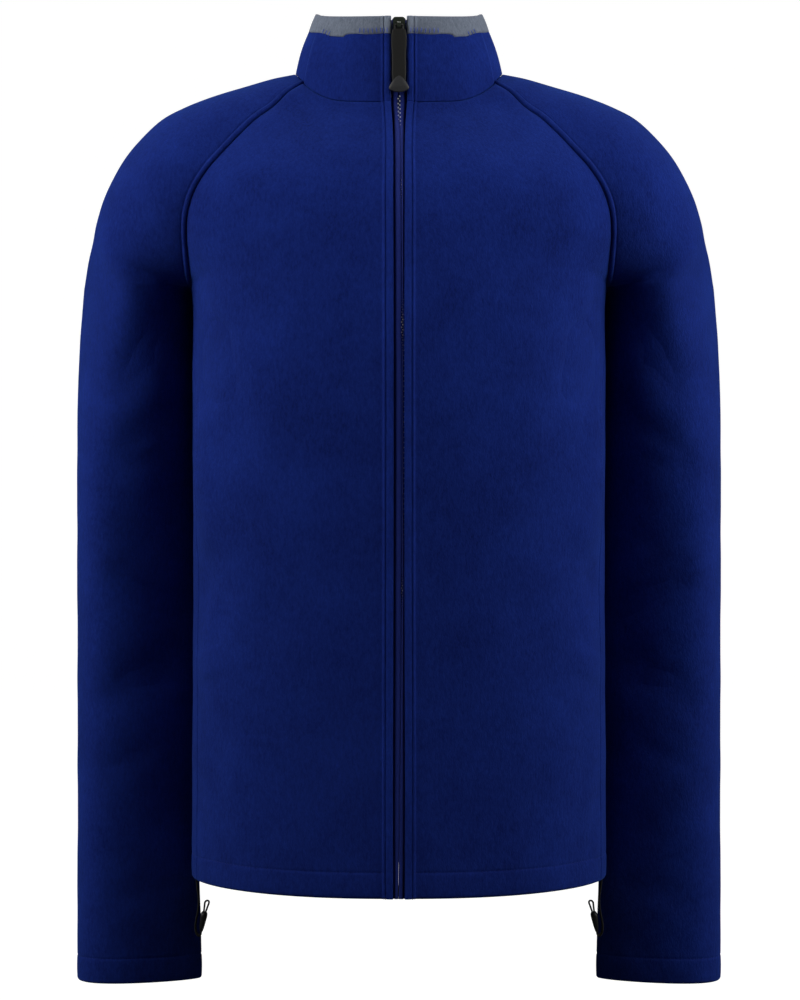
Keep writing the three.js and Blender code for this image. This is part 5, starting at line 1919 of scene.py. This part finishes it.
@dataclass(frozen=True)
class Puller:
    """The slider's puller: a bar, two arms, a flat strap and a rounded three-cornered end.

    A row of sizes is a distance below the hinge, half width and thickness. Tilt is in radians.
    """

    hinge: Place = (0.0, -66.35, 38.5)
    tilt: float = math.atan2(9.0, 68.0)
    arms: float = 2.85
    strap_sizes: tuple[Place, ...] = (
        (3.2, 4.0, 1.2), (3.8, 5.0, 1.7), (5.0, 5.3, 1.8), (24.0, 5.3, 1.9), (42.0, 5.3, 2.0),
        (46.5, 5.0, 2.0),
    )
    end_sizes: tuple[Place, ...] = (
        (41.0, 0.7, 2.4), (41.6, 1.8, 3.0), (42.6, 3.0, 3.4), (44.2, 4.4, 3.8), (46.2, 5.8, 3.9),
        (48.4, 7.1, 3.9), (49.9, 7.8, 3.7), (50.9, 7.8, 3.3), (51.9, 6.9, 2.9), (52.8, 5.1, 2.5),
        (53.5, 2.9, 2.0), (53.8, 0.9, 1.2),
    )

    def strap(self) -> Mesh:
        """The strap, its two arms and the bar that they turn on.

        Returns:
            Points and quads.
        """
        down = np.concatenate([[3.2, 3.35, 3.6], np.linspace(4.0, 46.5, 40)])
        parts = [self.lofted(self.strap_sizes, down, 0.42)]
        for x in (-self.arms, self.arms):
            parts.append(self.rod([(x, 0, 0.4), (x, 0, -2.0), (x, 0, -4.6)], 0.85))
        parts.append(self.rod([(-3.6, 0, 0), (0, 0, 0), (3.6, 0, 0)], 0.9))
        return self.placed(*joined(parts))

    def end(self) -> Mesh:
        """Return the rounded three-cornered end: a point above and a broad curved foot."""
        down = np.concatenate([[41.0, 41.2], np.linspace(41.6, 50.6, 26), np.linspace(50.9, 53.8, 11)])
        return self.placed(*self.lofted(self.end_sizes, down, 0.62))

    @staticmethod
    def lofted(rows: tuple[Place, ...], down: np.ndarray, squareness: float) -> Mesh:
        """Run a squared oval down the puller.

        Args:
            rows: Half width and thickness at distances below the hinge.
            down: The sections' distances below the hinge.
            squareness: Power of the oval; smaller is squarer.

        Returns:
            Points and quads.
        """
        sizes = Table("down half thick", rows)
        across, out = squared_oval(32, squareness)
        x = sizes(down, "half")[:, None] * across
        y = -sizes(down, "thick")[:, None] / 2 * out
        points = np.stack([x, y, np.broadcast_to(-down[:, None], x.shape)], axis=-1)
        return points.reshape(-1, 3), tube_faces(len(down), 32)[:, ::-1]

    def placed(self, vertices: np.ndarray, faces: np.ndarray) -> Mesh:
        """Tilt a form by the puller's lean and put it on the hinge.

        Args:
            vertices: Points round the hinge.
            faces: Quads.

        Returns:
            Points in place, and the same quads.
        """
        cos, sin = math.cos(self.tilt), math.sin(self.tilt)
        turned = vertices @ np.array([[1, 0, 0], [0, cos, -sin], [0, sin, cos]])
        return turned + np.array(self.hinge), faces

    @staticmethod
    def rod(ends: list[Place], radius: float) -> Mesh:
        """Make a round rod along a straight path, with softened ends.

        Args:
            ends: Three points along it.
            radius: Its radius.

        Returns:
            Points and quads.
        """
        start, middle, end = np.array(ends)
        points = np.stack([start, mix(start, middle, 0.03), middle, mix(end, middle, 0.03), end])
        width = np.array([0.6, 1, 1, 1, 0.6]) * radius
        _, across, out = frames_along(points, np.array([0, 1.0, 0]))
        cos, sin = squared_oval(12, 1.0)
        ring = across[:, None] * cos[None, :, None] + out[:, None] * sin[None, :, None]
        return (points[:, None] + ring * width[:, None, None]).reshape(-1, 3), tube_faces(5, 12)


@dataclass
class FrontZip(Part):
    """The whole zip: two tapes, the teeth, the puller on the slider, and the box at its foot.

    The box's place is its depth and foot, and its rows are heights above that foot.
    """

    front: Cloth
    collar: StandCollar
    tape_flat: tuple[float, float] = (0.0185, 0.692)
    box_place: tuple[float, float] = (-115.7, -635.5)
    box_half: tuple[float, float] = (3.2, 0.8)
    box_rows: tuple[float, ...] = (0, 0.1, 0.4, 0.9, 3.0, 6.0, 8.1, 8.6, 8.9, 9.0)
    puller: Puller = Puller()

    def box(self) -> Mesh:
        """The retaining box behind the tapes' lips: squared ovals up its height.

        Returns:
            Points and quads.
        """
        up = np.array(self.box_rows)
        ends = 1 - 0.25 * (turned_edge(up, 0.9, 1.0) + turned_edge(up[-1] - up, 0.9, 1.0))[:, None]
        across, out = squared_oval(24, 0.5)
        x = self.box_half[0] * ends * across
        y = self.box_place[0] + self.box_half[1] * ends * out
        z = np.broadcast_to(self.box_place[1] + up[:, None], x.shape)
        return np.stack([x, y, z], axis=-1).reshape(-1, 3), tube_faces(len(up), 24)

    def build(self) -> None:
        """Make the meshes of the tapes, the teeth, the puller and the box."""
        halves = [ZipHalf(self.front, self.collar, side) for side in Side]
        for half in halves:
            self.add(f"Zip_tape.{half.side.word}", half.tape())
        self.add("Zip_teeth", joined([half.teeth() for half in halves]))
        self.add("Puller", self.puller.strap())
        self.add("Puller_end", self.puller.end())
        self.add("Zip_box", self.box())

    def dress(self) -> None:
        """Finish the pieces, the puller's on their own body, and the slider that the CAD made."""
        for side in Side:
            piece = self.clothe(f"Zip_tape.{side.word}", TAPE_FINISH, "zip_tape")
        self.clothe("Zip_teeth", TEETH_FINISH, "black_plastic")
        self.clothe("Puller", PULLER_FINISH, "black_plastic", ("zip_puller",), PULLER_NAME)
        self.clothe("Puller_end", PULLER_END_FINISH, "black_plastic", body=PULLER_NAME)
        self.clothe("Zip_box", PLASTIC, "black_plastic")
        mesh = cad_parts["zip_slider"].data
        mesh.materials.clear()
        mesh.materials.append(SLIDER_FINISH.material())


@dataclass
class Pocket(Part):
    """The strip of pocket cloth behind the mouth in a side seam.

    The strip reaches in front of the seam and behind it.
    """

    side: Side
    reach: tuple[float, float] = (-14.0, 15.0)
    thickness: float = 1.4
    flat: tuple[float, float] = (0.03, 0.118)

    def cloth(self) -> Cloth:
        """Lay the strip under the seam, following the folds behind it and deeper in front.

        Returns:
            The wearer's left strip.
        """
        z = np.linspace(MOUTH.bottom, MOUTH.top, 40)[:, None]
        away = np.linspace(*self.reach, 12)[None]
        angle = np.radians(SIDE_SEAM(z, "angle") + away / BackPanel.degree)
        under = CLOTH + 0.45 + 2.2 * smooth_step(away / self.reach[0])
        folds = troughs(BODY_FOLDS, np.degrees(angle), z, BackPanel.degree)
        under = under + folds * smooth_step(away / self.reach[1])
        return Cloth(FORM.point(angle, z), under + self.thickness, -under)

    def build(self) -> None:
        """Make the strip's mesh."""
        self.add(f"Pocket.{self.side.word}", self.cloth().shell(), self.side.value)

    def dress(self) -> None:
        """Finish the strip as cloth in the node's place."""
        piece = self.clothe(f"Pocket.{self.side.word}", FLEECE, "fleece")


@dataclass
class Stitches(Part):
    """The topstitching of bands, seam rolls, hem, cuffs and pocket mouths, and the overlock.

    A run of the overlock has a nearest and farthest distance from the mid plane, and a rise.
    The seam roll is stitched from the row roll_from above the armpit.
    """

    front: Cloth
    sleeve: Cloth
    back: Cloth
    collar: StandCollar
    seam: Stitching = Stitching()
    overlock: Stitching = Stitching(pitch=3.1, length=4.4, radius=0.36, sink=-0.6, lean=1.42)
    overlock_runs: tuple[Place, ...] = ((8.5, 31.5, 2.4), (59.0, 67.0, 1.4))
    roll_from: int = 12

    def along(self, cloth: Cloth, rows: slice | int, columns: slice | int) -> Mesh:
        """Return topstitching on a line of a cloth's grid."""
        return self.seam.mesh(cloth.outer()[rows, columns], cloth.outward[rows, columns])

    def topstitching(self) -> Mesh:
        """Every stitch line on the wearer's left, its twins on the right, and the back's hem.

        Returns:
            Points and quads.
        """
        band = BAND.marks.index(BAND.stitch)
        roll = ROLL.marks.index(ROLL.stitch)
        hem = HEM.marks.index(HEM.fold)
        rolled = slice(len(self.sleeve.points) - len(upper_rows()) + self.roll_from, -4)
        z = self.front.points[:len(lower_rows()), -1, 2]
        mouth = np.flatnonzero((z > MOUTH.bottom + 4) & (z < MOUTH.top - 4))
        mouth_column = self.front.points.shape[1] - len(EDGE_MARKS) + 1
        lines = (
            (self.front, slice(2, -2), band),
            (self.front, hem, slice(band, -2)),
            (self.collar.cloth, slice(3, None), band),
            (self.sleeve, rolled, roll),
            (self.sleeve, rolled, -1 - roll),
            (self.sleeve, hem, slice(1, -1)),
            (self.front, slice(mouth[0], mouth[-1]), mouth_column),
        )
        return joined([mirrored(joined([self.along(*line) for line in lines])),
                       self.along(self.back, hem, slice(2, -2))])

    def overlocking(self) -> Mesh:
        """The slanted threads along the grey band's foot, on both sides.

        Returns:
            Points and quads.
        """
        parts = []
        for low, high, rise in self.overlock_runs:
            path, outward = self.collar.band_edge(low, high)
            parts.append(self.overlock.mesh(path + np.array([0, 0, rise]), outward))
        return mirrored(joined(parts))

    def build(self) -> None:
        """Make the meshes of both kinds of stitches."""
        self.add("Topstitching", self.topstitching())
        self.add("Overlock", self.overlocking())

    def dress(self) -> None:
        """Finish them as thread."""
        self.clothe("Topstitching", THREAD, "fleece")
        self.clothe("Overlock", EDGE_THREAD, "fleece")


@dataclass
class Studio:
    """The camera at the photograph's place, the pale floor and the lights.

    Sizes are in metres, and the lens in millimetres. The floor throws back bounce of the light.
    A pair of lights has a name, a place on the wearer's left, a width and watts.
    """

    distance: float = 2.6
    height: float = -0.332
    across: float = 0.0008
    lens: float = 117.0
    sensor: float = 36.0
    floor: float = -0.748
    reach: float = 8.0
    bounce: float = 0.12
    pairs: tuple[tuple[str, Place, float, float], ...] = (
        ("Front", (0.92, -0.77, 0.4), 0.7, 3.6),
        ("Side", (1.03, -0.36, 0.33), 0.7, 5.6),
        ("Rim", (1.28, 0.05, -0.22), 0.6, 2.8),
        ("Above", (0.25, 0.35, 1.4), 0.6, 3.0),
    )
    aim: Place = (0.0, 0.0, -0.1)
    fill: float = 0.02

    def camera(self) -> None:
        """Make the camera, level and square to the front."""
        data = bpy.data.cameras.new("Camera")
        data.lens = self.lens
        data.sensor_width = self.sensor
        data.clip_start, data.clip_end = 0.05, 50.0
        camera = bpy.data.objects.new("Camera", data)
        camera.location = (self.across, -self.distance, self.height)
        camera.rotation_euler = (math.pi / 2, 0, 0)
        bpy.context.scene.collection.objects.link(camera)
        bpy.context.scene.camera = camera

    def floor_mesh(self) -> bpy.types.Object:
        """Make the floor's mesh, which sweeps up into walls well away on every side.

        Returns:
            The floor, without a material.
        """
        line = np.linspace(-1.0, 1.0, 61)
        x, y = np.meshgrid(line * self.reach, line * self.reach)
        away = (x**4 + y**4) ** 0.25
        z = self.floor + self.reach * smooth_step((away - self.reach * 0.7) / (self.reach * 0.5))
        points = np.stack([x, y, z], axis=-1)
        index = np.arange(x.size).reshape(x.shape)
        return mesh_object("Floor", points.reshape(-1, 3) / MM, grid_faces(index))

    def ground(self) -> None:
        """Lay the floor: it throws back little light but looks white to the camera."""
        floor = self.floor_mesh()
        material = bpy.data.materials.new("Pale floor")
        material.use_nodes = True
        surface = material.node_tree.nodes["Principled BSDF"]
        surface.inputs["Base Color"].default_value = (self.bounce, self.bounce, self.bounce, 1)
        surface.inputs["Roughness"].default_value = 0.9
        surface.inputs["Emission Color"].default_value = (1, 1, 1, 1)
        path = material.node_tree.nodes.new("ShaderNodeLightPath")
        material.node_tree.links.new(path.outputs["Is Camera Ray"], surface.inputs["Emission Strength"])
        floor.data.materials.append(material)

    def light(self, name: str, place: Place, size: float, power: float) -> None:
        """Make one square soft light that faces the jacket.

        Args:
            name: The light's name.
            place: Where it stands, in metres.
            size: Its width.
            power: Its power in watts.
        """
        data = bpy.data.lights.new(name, "AREA")
        data.size = size
        data.energy = power
        lamp = bpy.data.objects.new(name, data)
        lamp.location = place
        lamp.rotation_euler = (Vector(self.aim) - Vector(place)).to_track_quat("-Z", "Y").to_euler()
        bpy.context.scene.collection.objects.link(lamp)

    def lights(self) -> None:
        """Make the pairs of lights, one of each at either side."""
        for name, place, size, power in self.pairs:
            for side in Side:
                self.light(f"{name}.{side.word}", (side.value * place[0], *place[1:]), size, power)

    def world(self) -> None:
        """Make a faint even light all round."""
        world = bpy.data.worlds.new("World")
        world.use_nodes = True
        background = world.node_tree.nodes["Background"]
        background.inputs["Color"].default_value = (1, 1, 1, 1)
        background.inputs["Strength"].default_value = self.fill
        bpy.context.scene.world = world
        bpy.context.scene.view_settings.view_transform = "Standard"


def main() -> None:
    """Make the camera, the jacket's parts in order, cords first, and the studio."""
    logging.basicConfig(level=logging.INFO, format="%(name)s: %(message)s")
    studio = Studio()
    studio.camera()
    nap_group()
    knit_group()
    band_group()
    pairs = [(FrontPanel(side), SleevePanel(side)) for side in Side]
    (front, sleeve), back = pairs[0], BackPanel()
    collar = StandCollar(front.cloth, sleeve.cloth, back.cloth)
    panels = [panel for pair in pairs for panel in pair]
    parts = [
        *[HemCord(side) for side in Side],
        *panels,
        back,
        collar,
        FrontZip(front.cloth, collar),
        *[Pocket(side) for side in Side],
        Stitches(front.cloth, sleeve.cloth, back.cloth, collar),
    ]
    for part in parts:
        part.build()
        part.dress()
        LOG.info("%s made", ", ".join(part.pieces))
    studio.ground()
    studio.lights()
    studio.world()


if __name__ == "__main__":
    main()
